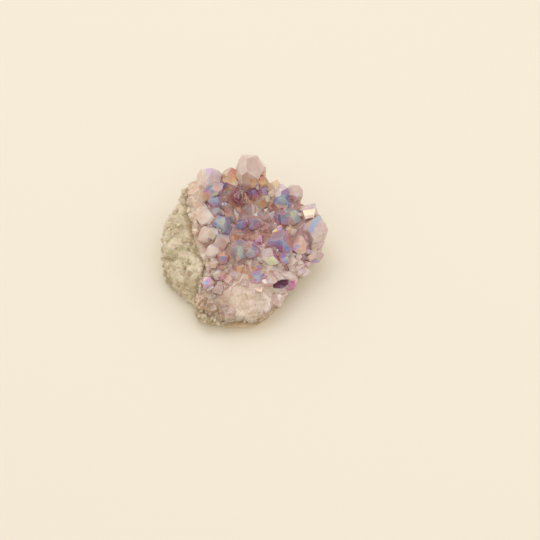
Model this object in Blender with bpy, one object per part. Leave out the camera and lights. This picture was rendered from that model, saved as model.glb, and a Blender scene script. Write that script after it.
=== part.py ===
"""Aura amethyst cluster: a broken lump of rock matrix with a thick crust of quartz crystals grown on it.

Metres, +Z up. The origin is on the flat broken base, under the middle of the cluster. +X is to the
right and -Y is the front, the side with the broken face of massive quartz.
"""

import math
import random
from dataclasses import dataclass

import bmesh
import bpy
from mathutils import Matrix, Vector, noise

MM = 0.001

# The lump: plan radii every 15 degrees from +X towards +Y, with the crystals left off.
PLAN_RADII = [
    25.4, 27.0, 26.5, 24.5, 23.0, 24.5, 27.0, 28.0, 32.0, 33.5, 31.2, 30.9,
    29.8, 28.8, 26.2, 25.6, 28.8, 28.3, 28.8, 26.8, 23.0, 21.5, 21.0, 22.6,
]
WIDEST_HEIGHT = 6.5  # mm, the level where the lump is widest
UNDERSIDE_DEPTH = 10.0  # mm below that, before the base is broken off flat
BASE_TOP = 15.0  # mm, height of the bed that the crystals stand on
SQUARENESS = 0.62  # 1 is an ellipsoid, and less is boxier
LUMP_SEGMENTS = 40
LUMP_RINGS = 20

# Swells and hollows of the bed: (x, y, radius, height), in mm.
RELIEF = [
    (-20.0, 19.0, 11.0, 8.5),  # shoulder at the back left
    (2.5, 23.5, 9.0, 11.0),  # back rim, under the tall tooth
    (16.0, 15.0, 9.0, 5.0),  # back right
    (-1.0, 9.0, 8.5, -5.0),  # the valley in the middle
    (3.0, -9.0, 10.0, 4.0),  # front rim
    (-21.0, -2.0, 10.0, -1.0),  # left shoulder of matrix
]

# The level where crystal gives way to rock: low in front and to the right, and high on the left.
RIND_HEIGHT = 4.8  # mm of rock under the crystals
RIND_STEP = 18.0  # mm that it climbs to on the left
STEP_START = -13.5  # mm, where the climb starts
STEP_END = -23.0  # mm, where it ends
BAY = (-9.0, 7.0, 4.0)  # where the rock reaches in among the crystals: middle y, half width, depth, mm
SEAM_GAP = 0.4  # mm between the two solids
SLIVER = 0.02  # mm, edges shorter than this are closed up

ROUGHNESS = [(9.0, 2.2), (4.0, 1.0)]  # mm: (size of the lumps, how far they stand out)
ROOT_LENGTH = 9.0  # mm of each large crystal that is sunk in the bed
ROOT_TAPER = 0.8  # a crystal's root, as a share of its width
RHOMB_SLOPE = math.radians(38.2)  # a crystal's end faces look this far above its waist, as in quartz
LARGE_FACE_SET_BACK = (-0.08, 0.04)  # half widths that the end faces lie from the ideal tip
SMALL_FACE_SET_BACK = (0.05, 0.22)
FLATNESS = (0.8, 1.12)  # width of a crystal one way, as a share of the other
GRAIN_SEED = 11
SCATTER_SEED = 5


@dataclass
class Point:
    """One quartz crystal: its tip in mm, the half width, and the way it leans."""

    name: str
    tip: tuple
    half_width: float
    heading: float = 0.0  # degrees from +X towards +Y that it leans to
    lean: float = 0.0  # degrees from upright
    spin: float = 0.0  # degrees about its own axis
    bluntness: float = 0.0  # half widths of the end that are broken off
    stretch: float = 1.0  # how much steeper than usual the end is


LARGE_POINTS = [
    Point("tall_tooth", (1.4, 27.0, 32.6), 6.2, heading=95, lean=18, spin=270, bluntness=0.5, stretch=1.4),
    Point("nook_gold", (3.6, 19.5, 24.5), 2.3, heading=-80, lean=15, spin=10),
    Point("nook_dark", (6.8, 21.5, 25.0), 2.6, heading=40, lean=18, spin=40),
    Point("nook_yellow", (9.4, 19.0, 23.0), 2.3, heading=-60, lean=12, spin=25),
    Point("nook_tip", (11.2, 21.5, 22.8), 2.6, heading=60, lean=22, spin=5),
    Point("nook_sparkle", (9.6, 16.8, 21.6), 2.0, heading=-100, lean=25, spin=50),
    Point("nook_orange", (6.6, 14.4, 20.4), 2.6, heading=-60, lean=20, spin=12),
    Point("nook_mauve", (6.2, 17.6, 22.2), 2.2, heading=-110, lean=20, spin=33),
    Point("back_left_block", (-13.5, 24.0, 26.8), 5.2, heading=120, lean=22, spin=20, bluntness=0.45),
    Point("back_left_flank", (-20.0, 21.5, 23.0), 4.4, heading=150, lean=38, spin=0, bluntness=0.8),
    Point("back_left_low", (-14.5, 19.5, 24.5), 3.4, heading=-150, lean=20, spin=40, bluntness=0.3),
    Point("orange_back", (-4.5, 24.0, 26.3), 4.4, heading=80, lean=12, spin=35),
    Point("orange_foot", (-6.6, 21.2, 25.2), 3.2, heading=-120, lean=18, spin=12),
    Point("violet_bar", (-7.0, 18.5, 23.5), 3.0, heading=15, lean=62, spin=25),
    Point("hollow_eye", (-2.5, 15.0, 21.5), 4.2, heading=-80, lean=28, spin=30, bluntness=0.3),
    Point("left_grey_upper", (-9.5, 13.5, 22.0), 2.9, heading=-60, lean=25, spin=5),
    Point("left_grey_lower", (-8.6, 10.5, 20.0), 2.7, heading=-20, lean=20, spin=15),
    Point("cyan_left", (-7.0, 2.6, 21.5), 4.2, heading=-75, lean=30, spin=10),
    Point("cobalt", (-1.2, 6.0, 18.5), 2.2, heading=-100, lean=18, spin=30),
    Point("orange_valley", (-2.6, 1.2, 17.6), 2.4, heading=-140, lean=22, spin=20),
    Point("magenta_valley", (-0.6, 0.6, 17.4), 1.9, heading=-60, lean=20, spin=50),
    Point("lilac_middle", (3.0, 7.0, 19.0), 3.2, heading=-110, lean=15, spin=0),
    Point("mauve_middle", (8.0, 8.5, 18.0), 4.2, heading=-70, lean=20, spin=20),
    Point("red_middle", (7.6, 3.4, 17.8), 3.0, heading=-100, lean=28, spin=48),
    Point("pale_left", (-9.0, -1.5, 20.5), 4.0, heading=200, lean=15, spin=25),
    Point("pale_left_edge", (-12.0, 1.5, 20.5), 2.6, heading=170, lean=28, spin=45),
    Point("pink_flash", (5.2, -0.5, 18.5), 2.2, heading=-40, lean=25, spin=10),
    Point("slate_right", (13.0, -4.4, 22.6), 4.9, heading=-75, lean=22, spin=22),
    Point("slate_neighbour", (16.6, 1.8, 20.6), 2.2, heading=-20, lean=18, spin=35),
    Point("green_gem", (15.8, 7.5, 22.0), 3.8, heading=-90, lean=12, spin=8),
    Point("mauve_gem", (11.5, 9.0, 19.5), 3.7, heading=-140, lean=18, spin=40),
    Point("back_right_peak", (18.4, 17.6, 24.4), 3.1, heading=20, lean=14, spin=14),
    Point("back_right_gold", (13.4, 18.0, 24.6), 3.8, heading=60, lean=14, spin=50, bluntness=0.4),
    Point("back_right_front", (13.5, 13.5, 23.0), 3.6, heading=-80, lean=18, spin=33),
    Point("right_giant", (25.8, 6.9, 22.0), 5.4, heading=45, lean=16, spin=38, stretch=1.15),
    Point("right_shoulder", (28.4, 9.4, 13.0), 3.4, heading=12, lean=52, spin=20),
    Point("right_shoulder_back", (26.0, 14.0, 12.4), 3.0, heading=34, lean=50, spin=5),
    Point("right_giant_back", (24.4, 12.6, 20.8), 4.2, heading=30, lean=32, spin=40),
    Point("right_lower", (28.0, 2.4, 13.0), 4.4, heading=-8, lean=56, spin=10),
    Point("rim_right", (21.0, -2.0, 18.5), 4.0, heading=-20, lean=34, spin=0),
    Point("rim_right_low", (24.5, -2.6, 11.0), 3.6, heading=-15, lean=62, spin=30),
    Point("right_foot", (20.5, -8.0, 12.5), 3.4, heading=-30, lean=55, spin=22),
    Point("front_grey", (-2.0, -7.6, 22.6), 4.3, heading=-110, lean=24, spin=12),
    Point("front_lilac", (2.5, -8.0, 22.4), 3.4, heading=-80, lean=26, spin=42),
    Point("violet_column", (-8.1, -8.4, 18.4), 2.4, heading=-130, lean=24, spin=20),
    Point("crimson_left", (-2.2, -12.4, 17.6), 2.3, heading=-120, lean=30, spin=8),
    Point("crimson_right", (1.0, -13.2, 17.0), 2.6, heading=-80, lean=34, spin=38),
    Point("yellow_flash", (10.0, -10.0, 21.0), 3.9, heading=-60, lean=32, spin=28),
    Point("small_lilac", (14.6, -8.8, 19.0), 2.2, heading=-30, lean=25, spin=5),
    Point("window_point", (16.8, -14.6, 12.8), 6.0, heading=-50, lean=50, spin=30, bluntness=0.62),
    Point("front_glint", (4.5, -16.0, 16.0), 3.4, heading=-85, lean=42, spin=18),
    Point("front_glint_right", (9.5, -16.5, 14.5), 3.0, heading=-65, lean=52, spin=40, bluntness=0.2),
    Point("front_column", (-5.2, -16.8, 14.2), 2.8, heading=-100, lean=50, spin=33),
    Point("front_pale_column", (-2.5, -14.8, 16.0), 3.4, heading=-95, lean=36, spin=18),
    Point("front_middle", (0.6, -17.4, 14.0), 3.2, heading=-80, lean=48, spin=40),
    Point("front_middle_right", (6.0, -18.9, 12.6), 2.8, heading=-70, lean=52, spin=12),
    Point("front_left_grey", (-12.0, -18.4, 11.2), 3.6, heading=-110, lean=56, spin=27),
    Point("front_stub_right", (7.6, -21.0, 10.4), 3.0, heading=-60, lean=50, spin=8, bluntness=0.7),
    Point("front_stub_left", (-4.6, -21.8, 10.2), 2.6, heading=-110, lean=48, spin=41, bluntness=0.5),
    Point("front_stub_low", (2.2, -25.6, 7.6), 3.4, heading=-85, lean=58, spin=20, bluntness=0.9),
    Point("left_foot_upper", (-11.5, -9.6, 17.0), 2.2, heading=-150, lean=32, spin=17),
    Point("left_foot_middle", (-10.6, -13.4, 14.6), 2.4, heading=-130, lean=40, spin=44),
    Point("left_foot_lower", (-7.6, -14.2, 15.0), 1.9, heading=-100, lean=36, spin=29),
    Point("front_left_mauve", (-7.6, -19.6, 11.6), 2.8, heading=-70, lean=58, spin=10),
    Point("front_left_bright", (-13.8, -16.5, 13.0), 2.6, heading=-130, lean=52, spin=12),
    Point("front_left_foot", (-12.0, -23.0, 7.0), 3.2, heading=-120, lean=60, spin=50, bluntness=0.4),
    Point("left_column_upper", (-15.8, 9.0, 20.5), 3.2, heading=165, lean=38, spin=10, bluntness=0.9),
    Point("left_column_middle", (-15.8, 2.0, 19.5), 3.4, heading=180, lean=42, spin=35, bluntness=0.8),
    Point("left_column_lower", (-13.0, -5.0, 18.0), 3.2, heading=195, lean=40, spin=20, bluntness=0.7),
    Point("gold_violet", (2.8, 17.0, 22.0), 3.3, heading=-95, lean=20, spin=16),
]

SMALL_COUNT = 200  # places tried over the whole lump, most of which fall outside the crust
SMALL_HALF_WIDTH = (1.1, 2.2)  # mm
MEDIUM_EVERY = 5  # one in this many is larger
MEDIUM_HALF_WIDTH = (2.2, 3.2)  # mm


@dataclass
class Break:
    """A flat break: a point on it in mm, and the way it faces."""

    name: str
    at: tuple
    facing: tuple


ROCK_BREAKS = [
    Break("front_left_face", (-19.3, -19.8, 8.5), (-0.58, -0.68, 0.45)),
    Break("left_upper_face", (-26.5, 6.0, 13.0), (-0.66, 0.05, 0.75)),
    Break("left_lower_face", (-31.0, 4.0, 5.0), (-0.97, -0.1, -0.2)),
    Break("back_left_face", (-25.0, 24.0, 13.0), (-0.72, 0.6, 0.35)),
    Break("back_face", (2.0, 26.5, 8.0), (0.08, 0.98, -0.15)),
    Break("right_low_face", (24.0, -3.5, 4.0), (0.82, -0.48, -0.3)),
    Break("front_right_face", (15.5, -18.0, 6.0), (0.62, -0.76, 0.15)),
]
QUARTZ_BREAKS = [
    Break("front_slab", (1.0, -23.8, 8.2), (0.02, -0.52, 0.85)),
    Break("front_slab_top", (-3.0, -15.5, 13.2), (-0.25, -0.28, 0.93)),
    Break("front_slab_right", (7.0, -21.5, 9.2), (0.42, -0.52, 0.74)),
    Break("front_slab_foot", (2.0, -26.2, 5.2), (0.04, -0.93, 0.36)),
    Break("front_left", (-12.0, -22.5, 6.5), (-0.38, -0.66, 0.65)),
    Break("front_right", (13.0, -18.0, 6.5), (0.62, -0.62, 0.48)),
]
WINDOW_AT = (12.9, -15.3, 11.6)  # mm, the pit in the broken end of one crystal, a dark window in the front
WINDOW_FACING = (0.478, -0.569, 0.669)
WINDOW_ALONG = (1.0, 0.55, -0.25)
WINDOW_SIZE = (4.6, 2.1, 4.0)  # mm: half length, half width, depth

COLOURS = {"matrix": (0.44, 0.37, 0.24, 1.0), "crystal_crust": (0.56, 0.36, 0.40, 1.0)}
FINISHES = {"matrix": (0.9, 0.0), "crystal_crust": (0.12, 0.0)}  # roughness, metallic


def clear_scene():
    for obj in list(bpy.data.objects):
        bpy.data.objects.remove(obj)


def new_collection(name):
    collection = bpy.data.collections.new(name)
    bpy.context.scene.collection.children.link(collection)
    return collection


def finish_material(name):
    material = bpy.data.materials.new(name)
    material.use_nodes = True
    shader = material.node_tree.nodes["Principled BSDF"]
    shader.inputs["Base Color"].default_value = COLOURS[name]
    shader.inputs["Roughness"].default_value = FINISHES[name][0]
    shader.inputs["Metallic"].default_value = FINISHES[name][1]
    return material


def object_of(name, bm, collection):
    """The bmesh as an object, with its mm made metres."""
    bmesh.ops.scale(bm, vec=Vector((MM, MM, MM)), verts=bm.verts)
    bmesh.ops.recalc_face_normals(bm, faces=bm.faces)
    mesh = bpy.data.meshes.new(name)
    bm.to_mesh(mesh)
    bm.free()
    obj = bpy.data.objects.new(name, mesh)
    collection.objects.link(obj)
    return obj


def as_cutter(obj):
    obj.hide_render = True
    obj.display_type = "WIRE"
    return obj


def smooth_step(low, high, value):
    share = min(1.0, max(0.0, (value - low) / (high - low)))
    return share * share * (3 - 2 * share)


def plan_radius(turn):
    """The lump's radius in mm at an angle in radians, on a smooth curve through the listed ones."""
    count = len(PLAN_RADII)
    place = (turn / math.tau) % 1.0 * count
    index = int(place)
    share = place - index
    before, here, after, beyond = (PLAN_RADII[(index + step) % count] for step in (-1, 0, 1, 2))
    bend = 2 * before - 5 * here + 4 * after - beyond
    twist = 3 * (here - after) + beyond - before
    return here + 0.5 * share * (after - before + share * (bend + share * twist))


def top_height(x, y):
    height = BASE_TOP
    for across, deep, radius, rise in RELIEF:
        height += rise * math.exp(-((x - across) ** 2 + (y - deep) ** 2) / radius**2)
    return height


def lump_point(direction):
    """Where the lump's smooth surface lies in a direction from its middle, in mm."""
    turn = math.atan2(direction.y, direction.x)
    reach = plan_radius(turn) * math.hypot(direction.x, direction.y) ** SQUARENESS
    x = reach * math.cos(turn)
    y = reach * math.sin(turn)
    rise = abs(direction.z) ** SQUARENESS
    above = top_height(x, y) - WIDEST_HEIGHT
    z = WIDEST_HEIGHT + rise * (above if direction.z > 0 else -UNDERSIDE_DEPTH)
    return Vector((x, y, z))


def rough(point, seed=GRAIN_SEED):
    """Angular lumps of a broken surface at a point, in mm."""
    total = 0.0
    for size, height in ROUGHNESS:
        total += height * noise.noise(point / size + Vector((seed, 0, 0)), noise_basis="VORONOI_F1")
        total -= height * 0.5
    return total


def cut_flat(bm, point, facing):
    """Takes off what lies beyond a plane, and closes the cut."""
    geometry = bm.verts[:] + bm.edges[:] + bm.faces[:]
    bmesh.ops.bisect_plane(
        bm, geom=geometry, plane_co=point, plane_no=facing, clear_outer=True, dist=1e-5
    )
    open_edges = [edge for edge in bm.edges if edge.is_boundary]
    bmesh.ops.holes_fill(bm, edges=open_edges, sides=0)


def lump(breaks):
    """The whole lump, broken off at these faces, before it is parted into rock and crystal."""
    bm = bmesh.new()
    bmesh.ops.create_uvsphere(bm, u_segments=LUMP_SEGMENTS, v_segments=LUMP_RINGS, radius=1.0)
    middle = Vector((0, 0, WIDEST_HEIGHT))
    for vertex in bm.verts:
        place = lump_point(vertex.co.normalized())
        outward = (place - middle).normalized()
        vertex.co = place + outward * rough(place)
    for flat in breaks:
        cut_flat(bm, Vector(flat.at), Vector(flat.facing).normalized())
    cut_flat(bm, Vector((0, 0, 0)), Vector((0, 0, -1)))
    bmesh.ops.triangulate(bm, faces=bm.faces)
    return bm


def seam_height(x, y):
    """Height in mm of the seam between rock and crystal."""
    wander = noise.noise(Vector((x / 9, y / 9, 3.0)))
    middle, half_width, depth = BAY
    inward = depth * math.exp(-(((y - middle) / half_width) ** 2))
    climb = smooth_step(-STEP_START, -STEP_END, inward - x - 2.5 * wander)
    return RIND_HEIGHT + RIND_STEP * climb + 1.3 * wander


def seam_solid(name, collection, top, shift):
    """What lies on one side of the seam, as a block with the wavy seam for its top or bottom."""
    reach = 45.0
    bm = bmesh.new()
    bmesh.ops.create_grid(bm, x_segments=30, y_segments=30, size=reach)
    for vertex in bm.verts:
        vertex.co.z = seam_height(vertex.co.x, vertex.co.y) + shift
    sides = bmesh.ops.extrude_face_region(bm, geom=bm.faces[:])
    for element in sides["geom"]:
        if isinstance(element, bmesh.types.BMVert):
            element.co.z = top
    return as_cutter(object_of(name, bm, collection))


def axis_of(point):
    """The unit vector that a crystal points along."""
    heading = math.radians(point.heading)
    lean = math.radians(point.lean)
    flat = math.sin(lean)
    return Vector((flat * math.cos(heading), flat * math.sin(heading), math.cos(lean)))


def crystal(point, root_length, collection):
    """A six-sided prism ended by three large and three small faces, as quartz grows."""
    deepest = (point.tip[2] - RIND_HEIGHT - 1) / math.cos(math.radians(point.lean))
    length = min(root_length + 2 * point.half_width, max(deepest, 2 * point.half_width))
    bm = bmesh.new()
    bmesh.ops.create_cone(
        bm,
        cap_ends=True,
        segments=6,
        radius1=point.half_width * ROOT_TAPER,
        radius2=point.half_width,
        depth=length,
    )
    bmesh.ops.translate(bm, vec=Vector((0, 0, -length / 2)), verts=bm.verts)
    growth = random.Random(point.name)
    out = math.cos(RHOMB_SLOPE)
    for side in range(6):
        turn = math.radians(60 * side + 30)
        set_back = growth.uniform(*(LARGE_FACE_SET_BACK if side % 2 else SMALL_FACE_SET_BACK))
        facing = Vector((out * math.cos(turn), out * math.sin(turn), math.sin(RHOMB_SLOPE)))
        cut_flat(bm, facing * set_back * point.half_width, facing)
    sides = Vector((growth.uniform(*FLATNESS), 1, point.stretch))
    bmesh.ops.scale(bm, vec=sides, verts=bm.verts)
    if point.bluntness:
        broken = Vector((0.25, 0.1, 1)).normalized()
        cut_flat(bm, Vector((0, 0, -point.bluntness * point.half_width)), broken)
    along = axis_of(point).to_track_quat("Z", "Y").to_matrix().to_4x4()
    turned = Matrix.Rotation(math.radians(point.spin), 4, "Z")
    bmesh.ops.transform(
        bm, matrix=Matrix.Translation(Vector(point.tip)) @ along @ turned, verts=bm.verts
    )
    return as_cutter(object_of(point.name, bm, collection))


def in_crystal_zone(place):
    """True where small crystals grow: above the seam, and off the broken front face."""
    above_seam = place.z > seam_height(place.x, place.y) + 1.5
    broken_front = place.y < -14 and -4 < place.x < 7
    return above_seam and not broken_front


def small_points():
    """Small crystals spread evenly over the crust, leaning outwards, each a little at random."""
    source = random.Random(SCATTER_SEED)
    golden = math.pi * (3 - math.sqrt(5))
    found = []
    for index in range(SMALL_COUNT):
        rise = 1 - (index + 0.5) / SMALL_COUNT * 1.05
        flat = math.sqrt(max(0.0, 1 - rise * rise))
        turn = index * golden + source.uniform(-0.25, 0.25)
        direction = Vector((flat * math.cos(turn), flat * math.sin(turn), rise))
        place = lump_point(direction)
        for flat in QUARTZ_BREAKS:
            facing = Vector(flat.facing).normalized()
            place -= facing * max(0.0, (place - Vector(flat.at)).dot(facing))
        medium = index % MEDIUM_EVERY == 0
        half_width = source.uniform(*(MEDIUM_HALF_WIDTH if medium else SMALL_HALF_WIDTH))
        spin = source.uniform(0, 60)
        sway = source.uniform(-14, 14)
        outward = Vector((place.x, place.y, 16.0 * max(0.15, rise) + 4)).normalized()
        if not in_crystal_zone(place):
            continue
        tip = place + outward * half_width * source.uniform(0.7, 1.1)
        found.append(
            Point(
                f"small_{index}",
                tuple(tip),
                half_width,
                heading=math.degrees(math.atan2(outward.y, outward.x)) + sway,
                lean=math.degrees(math.acos(outward.z)) + sway / 2,
                spin=spin,
            )
        )
    return found


def window_cutter(collection):
    """A six-sided bar that sinks the pit in the window crystal."""
    long_half, short_half, depth = WINDOW_SIZE
    bm = bmesh.new()
    bmesh.ops.create_cone(
        bm, cap_ends=True, segments=6, radius1=0.6, radius2=1.0, depth=2 * depth
    )
    bmesh.ops.scale(bm, vec=Vector((long_half, short_half, 1)), verts=bm.verts)
    outward = Vector(WINDOW_FACING).normalized()
    along = Vector(WINDOW_ALONG)
    across = (along - outward * along.dot(outward)).normalized()
    turned = Matrix((across, outward.cross(across), outward)).transposed().to_4x4()
    place = Matrix.Translation(Vector(WINDOW_AT)) @ turned
    bmesh.ops.transform(bm, matrix=place, verts=bm.verts)
    return as_cutter(object_of("window_pit", bm, collection))


def boolean(obj, operation, other=None, group=None):
    modifier = obj.modifiers.new(operation.title(), "BOOLEAN")
    modifier.operation = operation
    modifier.solver = "EXACT"
    if group:
        modifier.operand_type = "COLLECTION"
        modifier.collection = group
    else:
        modifier.object = other
    return modifier


def shell_of(face, seen):
    """The faces that share edges with this one, directly or through others."""
    found = [face]
    seen.add(face)
    for near in found:
        for edge in near.edges:
            for other in edge.link_faces:
                if other not in seen:
                    seen.add(other)
                    found.append(other)
    return found


def enclosed_volume(shell):
    """The volume that a closed shell of triangles holds. It is negative round an air pocket."""
    corners = ([vertex.co for vertex in face.verts] for face in shell)
    return sum(a.dot(b.cross(c)) for a, b, c in corners) / 6


def settle(obj):
    """Puts the Booleans' result in the mesh, with the air pockets sealed between crystals filled in."""
    graph = bpy.context.evaluated_depsgraph_get()
    mesh = bpy.data.meshes.new_from_object(obj.evaluated_get(graph))
    bm = bmesh.new()
    bm.from_mesh(mesh)
    bmesh.ops.remove_doubles(bm, verts=bm.verts, dist=SLIVER * MM)
    bmesh.ops.triangulate(bm, faces=bm.faces)
    seen = set()
    shells = [shell_of(face, seen) for face in bm.faces if face not in seen]
    shells.sort(key=enclosed_volume)
    inner = [face for shell in shells[:-1] for face in shell]
    bmesh.ops.delete(bm, geom=inner, context="FACES")
    for face in bm.faces:
        face.material_index = 0
    bm.to_mesh(mesh)
    bm.free()
    obj.modifiers.clear()
    obj.data = mesh


def build():
    clear_scene()
    cluster = new_collection("aura_amethyst_cluster")
    tools = new_collection("cutters")
    crystals = new_collection("crystals")
    above_seam = seam_solid("above_seam", tools, top=60.0, shift=-SEAM_GAP)
    below_seam = seam_solid("below_seam", tools, top=-20.0, shift=0.0)
    for point in LARGE_POINTS:
        crystal(point, ROOT_LENGTH, crystals)
    for point in small_points():
        crystal(point, 3 * point.half_width, crystals)

    matrix = object_of("matrix", lump(ROCK_BREAKS), cluster)
    boolean(matrix, "DIFFERENCE", other=above_seam)
    crust = object_of("crystal_crust", lump(ROCK_BREAKS + QUARTZ_BREAKS), cluster)
    boolean(crust, "UNION", group=crystals)
    boolean(crust, "DIFFERENCE", other=below_seam)
    boolean(crust, "DIFFERENCE", other=window_cutter(tools))
    for obj in (matrix, crust):
        settle(obj)
        obj.data.materials.clear()
        obj.data.materials.append(finish_material(obj.name))


build()
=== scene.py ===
import math
import random
from bisect import bisect_left
from functools import partial

import bmesh
import bpy
from mathutils import Matrix, Vector, noise
from mathutils.bvhtree import BVHTree


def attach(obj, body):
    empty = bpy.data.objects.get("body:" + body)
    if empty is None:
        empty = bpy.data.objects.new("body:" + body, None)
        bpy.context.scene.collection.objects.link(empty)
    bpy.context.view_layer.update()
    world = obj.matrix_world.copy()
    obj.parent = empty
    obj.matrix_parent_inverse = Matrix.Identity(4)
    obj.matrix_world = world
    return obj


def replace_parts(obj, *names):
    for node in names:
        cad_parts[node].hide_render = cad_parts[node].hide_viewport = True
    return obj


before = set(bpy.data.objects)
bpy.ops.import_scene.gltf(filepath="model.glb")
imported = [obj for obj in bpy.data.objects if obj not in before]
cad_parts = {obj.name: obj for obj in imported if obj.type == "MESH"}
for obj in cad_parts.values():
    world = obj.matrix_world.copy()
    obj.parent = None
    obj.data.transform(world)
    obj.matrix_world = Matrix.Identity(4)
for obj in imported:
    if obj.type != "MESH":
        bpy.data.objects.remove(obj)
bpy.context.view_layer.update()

bl_info = {
    "name": "Aura amethyst cluster",
    "version": (1, 0, 0),
    "blender": (4, 5, 0),
    "location": "3D View > Sidebar > Aura cluster",
    "description": "Coated quartz crystals on weathered rock, dressed over their solids",
    "category": "Add Mesh",
}

MM = 0.001

# The coating's interference colours, from the thinnest film to the thickest.
FILM_COLOURS = [
    (0.00, "F0D9D0"),
    (0.12, "EBCB92"),
    (0.24, "E2A274"),
    (0.36, "D8828C"),
    (0.48, "D67CC6"),
    (0.60, "AE98DA"),
    (0.72, "90A8DE"),
    (0.84, "B2CCCE"),
    (1.00, "E8E49C"),
]
FILM_NM = (70.0, 190.0)  # thickness of the thinnest and the thickest film

# The light of the room, from its walls to its ceiling, and its strength.
SKY = [(0.0, "B8AC9C"), (0.35, "D6CDBF"), (0.7, "FFFBF4"), (1.0, "FFFDF8")]
SKY_STRENGTH = 0.985

# Each lamp's place and width in metres, its power in watts and its colour.
LAMPS = {
    "softbox_above": ((-0.1, 0.25, 0.55), 0.4, 0.47, "FFFAF0"),
    "small_lamp": ((0.39, 0.07, 0.30), 0.05, 0.08, "FFF8EC"),
    "small_lamp_front": ((0.11, -0.24, 0.43), 0.04, 0.04, "FFF8EC"),
}

VIEW_MIDDLE = (8.8, -1.29, 0)  # what the camera looks at, in mm
LENS_MM = 85
SENSOR_MM = 36
FLOOR_WIDTH = 4.0  # in metres

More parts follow.
